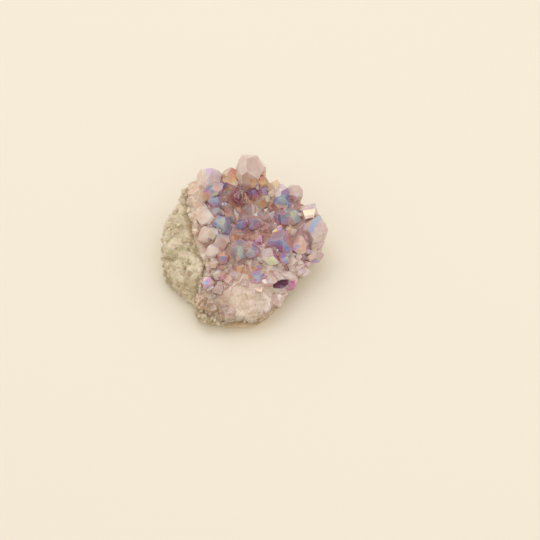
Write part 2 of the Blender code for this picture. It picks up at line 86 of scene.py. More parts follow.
# The larger crystals: tip in mm, half width in mm, heading and lean in degrees, then film, strength of the
# coating and milkiness, each from 0 to 1.
CRYSTALS = {
    "tall_tooth": ((1.4, 27.0, 32.6), 6.2, 95, 18, 0.02, 0.08, 0.75),
    "nook_gold": ((3.6, 19.5, 24.5), 2.3, -80, 15, 0.14, 0.60, 0.30),
    "nook_dark": ((6.8, 21.5, 25.0), 2.6, 40, 18, 0.30, 0.55, 0.00),
    "nook_yellow": ((9.4, 19.0, 23.0), 2.3, -60, 12, 0.16, 0.60, 0.30),
    "nook_tip": ((11.2, 21.5, 22.8), 2.6, 60, 22, 0.20, 0.35, 0.30),
    "nook_sparkle": ((9.6, 16.8, 21.6), 2.0, -100, 25, 0.10, 0.30, 0.60),
    "nook_orange": ((6.6, 14.4, 20.4), 2.6, -60, 20, 0.22, 0.85, 0.00),
    "nook_mauve": ((6.2, 17.6, 22.2), 2.2, -110, 20, 0.54, 0.45, 0.10),
    "back_left_block": ((-13.5, 24.0, 26.8), 5.2, 120, 22, 0.03, 0.22, 0.60),
    "back_left_flank": ((-20.0, 21.5, 23.0), 4.4, 150, 38, 0.00, 0.10, 0.85),
    "back_left_low": ((-14.5, 19.5, 24.5), 3.4, -150, 20, 0.06, 0.25, 0.55),
    "orange_back": ((-4.5, 24.0, 26.3), 4.4, 80, 12, 0.17, 0.55, 0.40),
    "orange_foot": ((-6.6, 21.2, 25.2), 3.2, -120, 18, 0.28, 0.65, 0.20),
    "violet_bar": ((-7.0, 18.5, 23.5), 3.0, 15, 62, 0.60, 0.55, 0.20),
    "hollow_eye": ((-2.5, 15.0, 21.5), 4.2, -80, 28, 0.44, 0.35, 0.15),
    "left_grey_upper": ((-9.5, 13.5, 22.0), 2.9, -60, 25, 0.72, 0.55, 0.30),
    "left_grey_lower": ((-8.6, 10.5, 20.0), 2.7, -20, 20, 0.84, 0.50, 0.20),
    "cyan_left": ((-7.0, 2.6, 21.5), 4.2, -75, 30, 0.82, 0.85, 0.20),
    "cobalt": ((-1.2, 6.0, 18.5), 2.2, -100, 18, 0.70, 1.00, 0.00),
    "orange_valley": ((-2.6, 1.2, 17.6), 2.4, -140, 22, 0.24, 0.75, 0.00),
    "magenta_valley": ((-0.6, 0.6, 17.4), 1.9, -60, 20, 0.48, 0.90, 0.00),
    "lilac_middle": ((3.0, 7.0, 19.0), 3.2, -110, 15, 0.74, 0.60, 0.20),
    "mauve_middle": ((8.0, 8.5, 18.0), 4.2, -70, 20, 0.42, 0.25, 0.00),
    "red_middle": ((7.6, 3.4, 17.8), 3.0, -100, 28, 0.34, 0.40, 0.00),
    "pale_left": ((-9.0, -1.5, 20.5), 4.0, 200, 15, 0.88, 0.30, 0.50),
    "pale_left_edge": ((-12.0, 1.5, 20.5), 2.6, 170, 28, 0.02, 0.15, 0.70),
    "pink_flash": ((5.2, -0.5, 18.5), 2.2, -40, 25, 0.47, 1.00, 0.30),
    "slate_right": ((13.0, -4.4, 22.6), 4.9, -75, 22, 0.74, 0.75, 0.00),
    "slate_neighbour": ((16.6, 1.8, 20.6), 2.2, -20, 18, 0.26, 0.50, 0.10),
    "green_gem": ((15.8, 7.5, 22.0), 3.8, -90, 12, 0.92, 0.50, 0.20),
    "mauve_gem": ((11.5, 9.0, 19.5), 3.7, -140, 18, 0.52, 0.45, 0.10),
    "back_right_peak": ((18.4, 17.6, 24.4), 3.1, 20, 14, 0.05, 0.20, 0.50),
    "back_right_gold": ((13.4, 18.0, 24.6), 3.8, 60, 14, 0.10, 0.35, 0.50),
    "back_right_front": ((13.5, 13.5, 23.0), 3.6, -80, 18, 0.76, 0.75, 0.10),
    "right_giant": ((25.8, 6.9, 22.0), 5.4, 45, 16, 0.62, 0.22, 0.35),
    "right_shoulder": ((28.4, 9.4, 13.0), 3.4, 12, 52, 0.40, 0.18, 0.50),
    "right_shoulder_back": ((26.0, 14.0, 12.4), 3.0, 34, 50, 0.02, 0.12, 0.60),
    "right_giant_back": ((24.4, 12.6, 20.8), 4.2, 30, 32, 0.04, 0.15, 0.60),
    "right_lower": ((28.0, 2.4, 13.0), 4.4, -8, 56, 0.56, 0.25, 0.40),
    "rim_right": ((21.0, -2.0, 18.5), 4.0, -20, 34, 0.66, 0.45, 0.30),
    "rim_right_low": ((24.5, -2.6, 11.0), 3.6, -15, 62, 0.60, 0.34, 0.40),
    "right_foot": ((20.5, -8.0, 12.5), 3.4, -30, 55, 0.50, 0.30, 0.40),
    "front_grey": ((-2.0, -7.6, 22.6), 4.3, -110, 24, 0.90, 0.45, 0.20),
    "front_lilac": ((2.5, -8.0, 22.4), 3.4, -80, 26, 0.68, 0.55, 0.20),
    "violet_column": ((-8.1, -8.4, 18.4), 2.4, -130, 24, 0.56, 0.60, 0.20),
    "crimson_left": ((-2.2, -12.4, 17.6), 2.3, -120, 30, 0.38, 0.60, 0.10),
    "crimson_right": ((1.0, -13.2, 17.0), 2.6, -80, 34, 0.37, 0.60, 0.10),
    "yellow_flash": ((10.0, -10.0, 21.0), 3.9, -60, 32, 0.08, 0.40, 0.40),
    "small_lilac": ((14.6, -8.8, 19.0), 2.2, -30, 25, 0.66, 0.65, 0.20),
    "window_point": ((16.8, -14.6, 12.8), 6.0, -50, 50, 0.02, 0.12, 0.60),
    "front_glint": ((4.5, -16.0, 16.0), 3.4, -85, 42, 0.64, 0.40, 0.45),
    "front_glint_right": ((9.5, -16.5, 14.5), 3.0, -65, 52, 0.60, 0.35, 0.50),
    "front_column": ((-5.2, -16.8, 14.2), 2.8, -100, 50, 0.52, 0.30, 0.40),
    "front_pale_column": ((-2.5, -14.8, 16.0), 3.4, -95, 36, 0.64, 0.18, 0.55),
    "front_middle": ((0.6, -17.4, 14.0), 3.2, -80, 48, 0.30, 0.20, 0.40),
    "front_middle_right": ((6.0, -18.9, 12.6), 2.8, -70, 52, 0.60, 0.25, 0.50),
    "front_left_grey": ((-12.0, -18.4, 11.2), 3.6, -110, 56, 0.80, 0.22, 0.40),
    "front_stub_right": ((7.6, -21.0, 10.4), 3.0, -60, 50, 0.02, 0.10, 0.80),
    "front_stub_left": ((-4.6, -21.8, 10.2), 2.6, -110, 48, 0.02, 0.10, 0.80),
    "front_stub_low": ((2.2, -25.6, 7.6), 3.4, -85, 58, 0.02, 0.08, 0.85),
    "left_foot_upper": ((-11.5, -9.6, 17.0), 2.2, -150, 32, 0.54, 0.35, 0.40),
    "left_foot_middle": ((-10.6, -13.4, 14.6), 2.4, -130, 40, 0.20, 0.25, 0.40),
    "left_foot_lower": ((-7.6, -14.2, 15.0), 1.9, -100, 36, 0.50, 0.50, 0.20),
    "front_left_mauve": ((-7.6, -19.6, 11.6), 2.8, -70, 58, 0.50, 0.28, 0.20),
    "front_left_bright": ((-13.8, -16.5, 13.0), 2.6, -130, 52, 0.62, 0.60, 0.40),
    "front_left_foot": ((-12.0, -23.0, 7.0), 3.2, -120, 60, 0.12, 0.20, 0.40),
    "left_column_upper": ((-15.8, 9.0, 20.5), 3.2, 165, 38, 0.00, 0.10, 0.80),
    "left_column_middle": ((-15.8, 2.0, 19.5), 3.4, 180, 42, 0.00, 0.10, 0.80),
    "left_column_lower": ((-13.0, -5.0, 18.0), 3.2, 195, 40, 0.04, 0.12, 0.75),
    "gold_violet": ((2.8, 17.0, 22.0), 3.3, -95, 20, 0.56, 0.85, 0.10),
}

# Facets whose coating is unlike the rest of their crystal: a place on the facet in mm, then its film, its
# strength, and how strongly it is painted bright as a flash of light.
ACCENTS = [
    ((-15.1, 22.7, 23.8), 0.12, 0.80, 0.35),
    ((-10.8, 21.2, 24.2), 0.40, 0.18, 0.05),
    ((-12.3, 23.1, 24.9), 0.54, 0.85, 0.95),
    ((-13.2, 18.3, 24.2), 0.42, 0.15, 0.30),
    ((-4.2, 22.5, 24.6), 0.14, 0.80, 0.25),
    ((-5.6, 20.5, 23.7), 0.28, 0.75, 0.00),
    ((-12.5, 16.0, 23.2), 0.62, 0.80, 0.05),
    ((-8.7, 17.2, 23.4), 0.76, 0.35, 0.00),
    ((-2.8, 16.7, 20.7), 0.50, 0.08, 0.00),
    ((-0.8, 16.4, 18.9), 0.50, 0.30, 0.00),
    ((0.6, 16.0, 18.2), 0.46, 0.35, 0.00),
    ((-9.4, 13.0, 20.3), 0.72, 0.50, 0.05),
    ((-7.4, 11.3, 17.4), 0.10, 0.50, 0.85),
    ((-9.7, 9.9, 19.2), 0.86, 0.40, 0.05),
    ((-14.3, 14.6, 20.6), 0.14, 0.50, 0.15),
    ((3.4, 16.3, 20.6), 0.62, 0.85, 0.00),
    ((3.7, 14.9, 17.4), 0.25, 0.75, 0.00),
    ((3.0, 12.7, 16.2), 0.02, 0.20, 0.15),
    ((-0.0, 19.3, 24.1), 0.16, 0.70, 0.00),
    ((2.4, 19.6, 24.3), 0.15, 0.90, 0.10),
    ((4.8, 19.5, 23.3), 0.20, 0.90, 0.00),
    ((3.4, 18.4, 22.5), 0.30, 0.95, 0.00),
    ((6.2, 19.4, 23.4), 0.16, 0.85, 0.00),
    ((6.5, 18.7, 22.0), 0.12, 0.80, 0.15),
    ((8.6, 19.6, 22.1), 0.14, 0.80, 0.10),
    ((7.6, 18.2, 21.0), 0.56, 0.60, 0.00),
    ((9.7, 19.1, 22.7), 0.15, 0.75, 0.10),
    ((11.4, 19.8, 21.8), 0.16, 0.70, 0.45),
    ((9.7, 18.1, 21.2), 0.12, 0.80, 0.90),
    ((9.7, 16.6, 20.8), 0.02, 0.20, 1.00),
    ((7.2, 14.3, 19.2), 0.24, 0.85, 0.00),
    ((13.1, 13.3, 22.1), 0.80, 0.60, 0.30),
    ((12.4, 12.1, 19.1), 0.18, 0.90, 0.85),
    ((17.0, 14.3, 18.7), 0.15, 0.40, 0.10),
    ((19.4, 10.3, 18.7), 0.33, 0.45, 0.00),
    ((23.2, 12.1, 20.4), 0.46, 0.18, 0.05),
    ((23.5, 10.0, 19.1), 0.05, 0.60, 0.90),
    ((23.6, 8.3, 18.1), 0.52, 0.30, 0.00),
    ((22.0, 2.7, 17.9), 0.60, 0.60, 0.50),
    ((25.5, 2.0, 17.1), 0.22, 0.26, 0.00),
    ((28.2, 3.5, 16.9), 0.46, 0.30, 0.05),
    ((19.6, -3.6, 16.1), 0.46, 0.35, 0.00),
    ((18.9, -1.8, 17.6), 0.50, 0.35, 0.00),
    ((24.9, -0.3, 12.1), 0.66, 0.30, 0.00),
    ((22.8, -2.9, 11.7), 0.48, 0.35, 0.05),
    ((16.9, 7.3, 20.3), 0.94, 0.60, 0.20),
    ((15.9, 5.6, 18.7), 0.70, 0.35, 0.00),
    ((12.1, 7.0, 16.8), 0.54, 0.60, 0.00),
    ((12.0, -3.7, 22.0), 0.82, 0.40, 0.05),
    ((13.7, -5.4, 19.7), 0.73, 0.85, 0.00),
    ((9.6, -7.4, 20.2), 0.50, 0.90, 0.00),
    ((-7.5, 5.2, 20.4), 0.92, 0.55, 0.20),
    ((-9.2, 3.2, 18.5), 0.78, 0.80, 0.35),
    ((-5.1, 3.6, 17.3), 0.62, 0.75, 0.05),
    ((-1.4, 5.4, 17.2), 0.75, 1.00, 0.40),
    ((2.8, 6.2, 17.9), 0.78, 0.80, 0.45),
    ((-0.7, 2.0, 16.5), 0.30, 0.85, 0.00),
    ((5.2, -1.1, 17.3), 0.49, 1.00, 0.95),
    ((5.9, -0.7, 17.4), 0.47, 1.00, 0.60),
    ((-2.1, -8.7, 20.9), 0.92, 0.42, 0.00),
    ((-0.5, -9.1, 18.5), 0.90, 0.40, 0.05),
    ((2.6, -8.7, 18.6), 0.74, 0.40, 0.10),
    ((8.3, -9.2, 19.8), 0.64, 0.28, 0.10),
    ((10.7, -10.4, 18.5), 0.98, 0.90, 0.85),
    ((14.0, -9.8, 17.2), 0.70, 0.75, 0.05),
    ((-10.8, -0.5, 18.7), 0.90, 0.30, 0.40),
    ((1.5, -11.2, 16.3), 0.38, 0.75, 0.00),
    ((-7.6, -9.1, 16.8), 0.58, 0.65, 0.10),
    ((-6.6, -17.2, 13.0), 0.52, 0.35, 0.00),
    ((-11.0, -17.4, 10.8), 0.66, 0.28, 0.00),
    ((-13.0, -16.3, 12.9), 0.58, 0.65, 0.55),
    ((-1.8, -14.0, 15.5), 0.05, 0.10, 0.10),
    ((1.5, -14.3, 14.1), 0.24, 0.65, 0.00),
    ((3.9, -15.9, 15.3), 0.62, 0.45, 0.35),
    ((6.6, -14.6, 13.9), 0.58, 0.40, 0.40),
    ((7.6, -20.1, 10.6), 0.02, 0.05, 0.90),
    ((11.7, -11.6, 13.3), 0.46, 0.25, 0.25),
    ((-8.6, -17.6, 11.8), 0.50, 0.08, 0.00),
    ((-11.6, -21.0, 9.5), 0.20, 0.08, 0.00),
    ((11.3, -19.8, 9.1), 0.30, 0.08, 0.00),
    ((24.5, -2.4, 11.5), 0.55, 0.08, 0.00),
]

# Where one facet is really two: a place on it in mm, and the way the line between them faces.
SPLITS = [
    ((23.4, 2.4, 17.5), (0.87, -0.34, -0.35)),
    ((23.5, 10.8, 19.5), (0.15, -0.84, -0.53)),
    ((23.6, 9.1, 18.6), (0.15, -0.84, -0.53)),
    ((-12.3, 21.4, 24.9), (-0.88, -0.43, -0.21)),
    ((12.0, 12.4, 19.8), (-0.08, -0.38, -0.92)),
]

# Where the quartz at the front is broken across: the way each broken face looks.
BROKEN_FACES = [(0.02, -0.52, 0.85), (-0.25, -0.28, 0.93), (0.42, -0.52, 0.74), (0.04, -0.93, 0.36)]

# The broken crystal whose growth rings show, in mm: the middle of the rings and their reach.
RINGS = ((-1.2, 15.8, 19.8), 5.2)

# The deep violet pocket at the front right, in mm: its middle, its half length and its half width.
POCKET = ((13.0, -12.9, 8.0), 5.0, 3.4)
POCKET_DEPTH = 3.0  # how far the quartz bed is sunk there, in mm

# Where the smallest crystals grow thickly: the middle and the radius in mm of each patch, then its thinnest
# and thickest film and the strength of its coating.
DRUSE_PATCHES = [
    ((8.0, 17.0, 21.0), 5.5, 0.10, 0.32, 0.75),
    ((9.0, -20.0, 10.0), 3.6, 0.02, 0.70, 0.30),
    ((-8.0, -19.0, 9.5), 5.0, 0.02, 0.60, 0.20),
]

LILAC_FOOT = Vector((21.0, -6.0, 11.0))  # the middle, in mm, of the small crystals with one lilac coating
BROWN_FOOT = Vector((-11.0, -22.0, 8.0))  # the middle, in mm, of the broken crystals soaked with brown clay

FILM_DROP = 0.38  # how much the film thins down a crystal, for each half width from its tip
TIP_LENGTH = 0.25  # how far down it first stays as thick, in half widths

# How far the faces of a crystal reach from its axis, and how far along it, above and below its tip, all in
# half widths.
CRYSTAL_WIDTH = 1.16
CRYSTAL_ABOVE = -0.15
CRYSTAL_BELOW = 3.6

ROUGH_REACH = 7 * MM  # how far from the rock the crust may be rough
MERGE_DISTANCE = 0.002 * MM  # between corners of loose triangles that are one
TRIES = 12  # places looked at for each small thing that is to be set down
JUST_INSIDE = 0.1 * MM  # how far under a face to look for the crystal that it belongs to
SAME_FACING = 0.9995  # the cosine between two faces that count as one

QUARTZ_IOR = 1.544
COATING_IOR = 2.2  # of the metal oxide film
COLOUR_MIX = {"out": 2, "data_type": "RGBA"}  # for a Mix node between the colours in its inputs 6 and 7

# What a small crystal or a chip stores, apart from a finish of its own.
LOOSE = {"massive": 0.0, "glow": 0.0, "edge": 0.0, "rough": 0.0, "down": 0.0, "pocket": 0.0}


def linear(hex_colour, alpha=1.0):
    """An sRGB hex colour as linear RGBA."""
    channels = [int(hex_colour[i : i + 2], 16) / 255 for i in (0, 2, 4)]
    return tuple(c / 12.92 if c <= 0.04045 else ((c + 0.055) / 1.055) ** 2.4 for c in channels) + (alpha,)


FILM_STOPS = [(share, linear(colour)) for share, colour in FILM_COLOURS]

# Tints within the quartz and the rock.
TINTS = {
    name: linear(colour)
    for name, colour in {
        "crack": "B89478",
        "clay": "B08E68",
        "veil": "FAEEE6",
        "glint": "FCF0E4",
        "painted edge highlight": "FBF0E8",
        # painted highlight along the sharp edges
        "dark ring": "8E4E60",
        "light ring": "CFA0AA",
        "ring middle": "5E3032",
        "flash": "FFFDF4",
        "pocket": "A87694",
        "pocket shard": "E0C4D2",
        "pocket end": "E078C0",
        "pocket bed": "A07090",
        "depth": "E0B4C0",
        "rust": "C98F58",
        "fleck": "F6E6DE",
        "grit": "F6EEDF",
        "pale crumb": "F2EADB",
        "cream seam": "E8D2B2",
    }.items()
}


# ---------------------------------------------------------------- settings


def colour_setting(name, description, default):
    """A colour that a user can change, with an sRGB hex default."""
    return bpy.props.FloatVectorProperty(
        name=name, description=description, subtype="COLOR", size=4, default=linear(default)
    )


def length_setting(name, description, default):
    """A length that a user can change, with a default in mm."""
    return bpy.props.FloatProperty(name=name, description=description, default=default * MM, unit="LENGTH")


def count_setting(name, description, default):
    """A number of things that a user can change."""
    return bpy.props.IntProperty(name=name, description=description, default=default)


class CrustSettings(bpy.types.PropertyGroup):
    """Sizes and colours of the crystals."""

    body: colour_setting("Crystal body", "Mauve of the quartz under the coating", "E8C0BE")
    milky: colour_setting("Milky quartz", "Pale quartz, cloudy with fine fluid pockets", "FAE5DE")
    # Painted shade: the rust-brown that darkens the crevices between the crystals, by how little of the space
    # around each point is open.
    crevice_shade: colour_setting("Crevice shade", "Rust-brown painted shade between the crystals", "8E5048")
    stained: colour_setting("Stained quartz", "Massive quartz near the rock, with clay in cracks", "D6BA9E")
    blush: colour_setting("Pinkish quartz", "Massive quartz between the crystals and the rock", "E4C4B2")
    slab: colour_setting("Broken quartz", "Massive quartz where it is broken across", "DECAB4")
    bed: colour_setting("Quartz bed", "Mauve of the quartz under the crystals", "BE9088")
    facet_grid: length_setting("Facet mesh", "Longest edge inside a facet", 0.7)
    bed_mesh: length_setting("Bed mesh", "Spacing of the mesh of the quartz bed", 0.55)
    bed_fill: length_setting("Bed fill", "Half the width of the gaps that the quartz bed fills", 1.35)
    bed_depth: length_setting("Bed depth", "How far the quartz bed lies under the crystal faces", 0.95)
    point_size: length_setting("Small points", "Typical half width of the smallest crystals", 0.55)
    point_count: count_setting("Number of small points", "How many of the smallest crystals there are", 260)
    chip_count: count_setting("Number of chips", "How many chips of quartz lie along the rock's edge", 150)
    chip_size: length_setting("Chip size", "Typical half width of a chip of broken quartz", 0.45)


class RockSettings(bpy.types.PropertyGroup):
    """Sizes and colours of the rock."""

    pale: colour_setting("Rock", "Weathered face of the rock", "EDE0C8")
    stain: colour_setting("Rock stain", "Olive to brown stain in the hollows of the rock", "B2A481")
    rind: colour_setting("Rind", "Rusty brown rind where crystal meets rock", "8E6C46")
    voxel: length_setting("Mesh size", "Spacing of the rock's mesh", 0.42)
    crumb_count: count_setting("Number of crumbs", "How many separate crumbs stand out of the rock", 900)
    crumb_size: length_setting("Crumb size", "Typical half width of a crumb of rock", 0.5)
    crumb_height: length_setting("Crumb height", "How far the lumps of the rock itself stand out", 0.5)


class StageSettings(bpy.types.PropertyGroup):
    """The floor, the light and the camera."""

    floor: colour_setting("Floor", "Pale floor", "F4EEE1")
    elevation: bpy.props.FloatProperty(
        name="Camera elevation",
        description="Angle of the camera above the horizon",
        subtype="ANGLE",
        default=math.radians(55),
    )
    distance: length_setting("Camera distance", "From the camera to the middle of the view", 450)


# ---------------------------------------------------------------- shared helpers


def select_only(obj):
    """Leaves this one object selected and active."""
    bpy.ops.object.select_all(action="DESELECT")
    obj.select_set(True)
    bpy.context.view_layer.objects.active = obj


def copy_of_node(node_name, piece_name):
    """A copy of a CAD node's mesh with its loose triangles merged."""
    piece = bpy.data.objects.new(piece_name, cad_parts[node_name].data.copy())
    bpy.context.scene.collection.objects.link(piece)
    piece.data.materials.clear()
    select_only(piece)
    bpy.ops.object.mode_set(mode="EDIT")
    bpy.ops.mesh.select_all(action="SELECT")
    bpy.ops.mesh.remove_doubles(threshold=MERGE_DISTANCE)
    bpy.ops.object.mode_set(mode="OBJECT")
    return piece


def connect(tree, inputs, values):
    """Gives the inputs of a node their values and their links."""
    for name, value in values.items():
        if isinstance(value, bpy.types.NodeSocket):
            tree.links.new(value, inputs[name])
        else:
            inputs[name].default_value = value


def add(tree, kind, inputs=None, out=0, stops=None, **settings):
    """Adds a node with its settings, its values and its links, and gives one of its outputs. Any stops are
    the positions and linear colours of a colour ramp. On a Map Range, inputs 1 and 2 are the range it reads
    and 3 and 4 the range it gives, 0 to 1 where they are left out."""
    node = tree.nodes.new(kind)
    for name, value in settings.items():
        setattr(node, name, value)
    connect(tree, node.inputs, inputs or {})
    for index, (position, colour) in enumerate(stops or []):
        elements = node.color_ramp.elements
        element = elements[index] if index < 2 else elements.new(position)
        element.position = position
        element.color = colour
    return node.outputs[out]


def material(name):
    """A new node material: itself, add() for its tree, connect() for its shader, and object coordinates."""
    made = bpy.data.materials.new(name)
    made.use_nodes = True
    tree = made.node_tree
    node = partial(add, tree)
    shader = partial(connect, tree, tree.nodes["Principled BSDF"].inputs)
    return made, node, shader, node("ShaderNodeTexCoord", out="Object")


def directions(count):
    """Unit vectors spread evenly over a sphere."""
    golden = math.pi * (3 - math.sqrt(5))
    found = []
    for index in range(count):
        z = 1 - 2 * (index + 0.5) / count
        flat = math.sqrt(1 - z * z)
        found.append(Vector((flat * math.cos(golden * index), flat * math.sin(golden * index), z)))
    return found


RAYS = directions(40)
REACH = 9.0 * MM  # how far a ray looks for a surface
OFF_SURFACE = 0.08 * MM  # how far in front of its own surface it starts
GRAZING = 0.08  # the cosine below which a ray runs too flat to count
FAR_SHARE = 0.6  # how free a direction is whose nearest surface is at the ray's full reach


def openness(tree, place, normal):
    """How much of the space outside a point of a surface is free, from 0 to 1."""
    start = place + normal * OFF_SURFACE
    total = free = 0.0
    for ray in RAYS:
        weight = ray.dot(normal)
        if weight < GRAZING:
            continue
        total += weight
        hit = tree.ray_cast(start, ray, REACH)[3]
        free += weight * (1.0 if hit is None else FAR_SHARE * hit / REACH)
    return free / total if total else 0.0


def store(mesh, domain, names, rows):
    """Stores a row of values, one under each name, at each point or face of a mesh."""
    for name, values in zip(names, zip(*rows)):
        mesh.attributes.new(name, "FLOAT", domain).data.foreach_set("value", values)


def stored_at_points(mesh, name):
    """What a mesh stores at its points under this name."""
    values = [0.0] * len(mesh.vertices)
    mesh.attributes[name].data.foreach_get("value", values)
    return values


def even_mesh(piece, spacing):
    """Gives the active piece an even mesh of this spacing."""
    remesh = piece.modifiers.new("Even mesh", "REMESH")
    remesh.mode = "VOXEL"
    remesh.voxel_size = spacing
    bpy.ops.object.modifier_apply(modifier=remesh.name)


def tree_of(mesh):
    """A search tree of a mesh."""
    bm = bmesh.new()
    bm.from_mesh(mesh)
    tree = BVHTree.FromBMesh(bm)
    bm.free()
    return tree


def smooth_step(low, high, value):
    """A share that rises smoothly from 0 at low to 1 at high, whichever of them is the larger."""
    share = min(1.0, max(0.0, (value - low) / (high - low)))
    return share * share * (3 - 2 * share)


def to_root(piece, finish):
    """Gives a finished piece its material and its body."""
    piece.data.materials.append(finish)
    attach(piece, "root")
    return piece


# ---------------------------------------------------------------- crystals


def axis_of(heading, lean):
    """The way a crystal points, from its heading and its lean in degrees."""
    flat = math.sin(math.radians(lean))
    heading = math.radians(heading)
    return Vector((flat * math.cos(heading), flat * math.sin(heading), math.cos(math.radians(lean))))


# Each larger crystal's name, tip and axis, and its half width in metres.
PLACED = [(name, Vector(row[0]) * MM, axis_of(row[2], row[3]), row[1] * MM) for name, row in CRYSTALS.items()]


def crystal_at(place):
    """The larger crystal that a point of the crust belongs to, and how far below its tip it lies in half
    widths. It is None between them."""
    best, found = CRYSTAL_WIDTH, (None, 0.0)
    for name, tip, axis, half_width in PLACED:
        offset = place - tip
        down = -offset.dot(axis) / half_width
        if not CRYSTAL_ABOVE < down < CRYSTAL_BELOW:
            continue
        score = (offset + axis * (down * half_width)).length / half_width + 0.06 * down
        if score < best:
            best, found = score, (name, down)
    return found


def finish_of(place, chance):
    """(film, strength, milk) of a facet: what its crystal has, or for a small one its own."""
    name = crystal_at(place)[0]
    if name:
        # The film and its strength vary a little from one facet of a crystal to the next.
        film, strength, milk = CRYSTALS[name][4:]
        film += 0.24 * (chance - 0.5)
        strength *= 0.6 + 0.8 * chance
        return film, strength, milk
    # On the small ones the film drifts over some mm, and the coating is strong in patches, weak at the rock
    # and near the floor.
    drift = noise.noise(place / (6 * MM))
    film = 0.42 + 0.8 * drift + 0.4 * (chance - 0.5)
    edge = min(1.0, max(0.0, (place.x / MM + 14) / 6)) * smooth_step(7.0, 12.0, place.z / MM)
    patch = max(0.0, noise.noise(place / (5 * MM) + Vector((9, 0, 0))))
    strength = edge * (0.12 + 0.5 * patch + 0.35 * chance**3)
    lilac = smooth_step(8.0, 6.0, (place / MM - LILAC_FOOT).length)
    film += lilac * (0.58 + 0.3 * (chance - 0.5) - film)
    strength += lilac * (0.3 - strength)
    return min(1.0, max(0.0, film)), strength, 0.2 + 0.5 * (1 - edge)


def roughness_of(place, rock):
    """How far the crust has lost its crystal faces here: fully at the rock and down the left side."""
    hit, _, _, distance = rock.find_nearest(place, ROUGH_REACH)
    near_rock = 0.0 if hit is None else 1 - smooth_step(1.2, 4.5, distance / MM)
    left = smooth_step(-12.5, -17.5, place.x / MM + 1.5 * noise.noise(place / (4 * MM)))
    return max(near_rock, left)


def facet_attributes(mesh, seed):
    """Stores the finish of each flat facet, before the facets are divided up."""
    source = random.Random(seed)
    broken = [Vector(facing).normalized() for facing in BROKEN_FACES]
    finishes = []
    for face in mesh.polygons:
        chance = source.random()
        film, strength, milk = finish_of(face.center - face.normal * JUST_INSIDE, chance)
        flat = any(face.normal.dot(facing) > SAME_FACING for facing in broken)
        if flat:
            strength, milk = 0.06, 1.0
        finishes.append([film, strength, milk, chance, float(flat), 0.0])
    tree = tree_of(mesh)
    for place, film, strength, glow in ACCENTS:
        place = Vector(place) * MM
        index = tree.find_nearest(place)[2]
        down = crystal_at(place - mesh.polygons[index].normal * JUST_INSIDE)[1]
        film += FILM_DROP * max(0.0, down - TIP_LENGTH) * (1 - glow)
        milk, chance = finishes[index][2:4]
        finishes[index] = [film, strength, min(milk, 0.3), 0.4 + 0.4 * chance, 0.0, glow]
    store(mesh, "FACE", ("film", "strength", "milk", "chance", "massive", "glow"), finishes)


def split_facets():
    """Divides the facets of the active piece that are really two."""
    piece = bpy.context.object
    for place, facing in SPLITS:
        tree = tree_of(piece.data)
        index = tree.find_nearest(Vector(place) * MM)[2]
        bpy.ops.object.mode_set(mode="EDIT")
        bpy.ops.mesh.select_mode(type="FACE")
        bpy.ops.mesh.select_all(action="DESELECT")
        bm = bmesh.from_edit_mesh(piece.data)
        bm.faces.ensure_lookup_table()
        bm.faces[index].select_set(True)
        bmesh.update_edit_mesh(piece.data)
        bpy.ops.mesh.bisect(plane_co=Vector(place) * MM, plane_no=facing)
        bpy.ops.object.mode_set(mode="OBJECT")


def divide_long_edges(longest, rounds):
    """Divides the edges of the active piece until none is longer than this."""
    bpy.ops.object.mode_set(mode="EDIT")
    bpy.ops.mesh.select_mode(type="EDGE")
    for _ in range(rounds):
        bpy.ops.mesh.select_all(action="SELECT")
        bpy.ops.mesh.quads_convert_to_tris()
        bpy.ops.mesh.select_all(action="DESELECT")
        bm = bmesh.from_edit_mesh(bpy.context.object.data)
        for edge in bm.edges:
            edge.select = edge.calc_length() > longest
        bmesh.update_edit_mesh(bpy.context.object.data)
        bpy.ops.mesh.subdivide(number_cuts=1)
    bpy.ops.mesh.select_all(action="SELECT")
    bpy.ops.mesh.quads_convert_to_tris()
    bpy.ops.object.mode_set(mode="OBJECT")


def chipped(place, size):
    """Height in mm of a broken surface of flat chips about this many mm across, each tilted its own way."""
    local = place / (size * MM)
    middle = noise.voronoi(local)[1][0]
    tilt = noise.cell_vector(middle * 7.3) - Vector((0.5, 0.5, 0.5))
    level = noise.cell_vector(middle * 3.7)[0] - 0.5
    return size * (0.75 * (local - middle).dot(tilt) + 0.22 * level)


def template(name, shape):
    """A small mesh made once for many copies: 'point' is a six-sided crystal 1 m in half width, and 'chip'
    an angular crumb of the same size."""
    bpy.ops.object.select_all(action="DESELECT")
    if shape == "point":
        bpy.ops.mesh.primitive_cylinder_add(vertices=6, radius=1, depth=4, location=(0, 0, -1))
        # Six end faces, every other one of them cut further back.
        cuts = [(math.radians(60 * side + 30), 0.05 if side % 2 else 0.22) for side in range(6)]
        cuts = [(math.cos(turn) * 0.79, math.sin(turn) * 0.79, 0.62, back) for turn, back in cuts]
    else:
        bpy.ops.mesh.primitive_ico_sphere_add(subdivisions=2, radius=1.15)
        # Nine flat breaks that face all ways.
        source = random.Random(name)
        cuts = []
        for facing in directions(9):
            facing = (facing + Vector([source.uniform(-0.5, 0.5) for _ in range(3)])).normalized()
            cuts.append((*facing, source.uniform(0.55, 0.95) - 1))
    obj = bpy.context.object
    bpy.ops.object.mode_set(mode="EDIT")
    for x, y, z, back in cuts:
        facing = Vector((x, y, z)).normalized()
        bpy.ops.mesh.select_all(action="SELECT")
        place = facing * (0.9 - back if shape == "point" else 1 + back)
        bpy.ops.mesh.bisect(plane_co=place, plane_no=facing, clear_outer=True, use_fill=True)
    bpy.ops.mesh.select_all(action="SELECT")
    bpy.ops.mesh.dissolve_limited(angle_limit=math.radians(1))
    bpy.ops.mesh.quads_convert_to_tris()
    bpy.ops.object.mode_set(mode="OBJECT")
    mesh = obj.data
    bpy.data.objects.remove(obj)
    return mesh


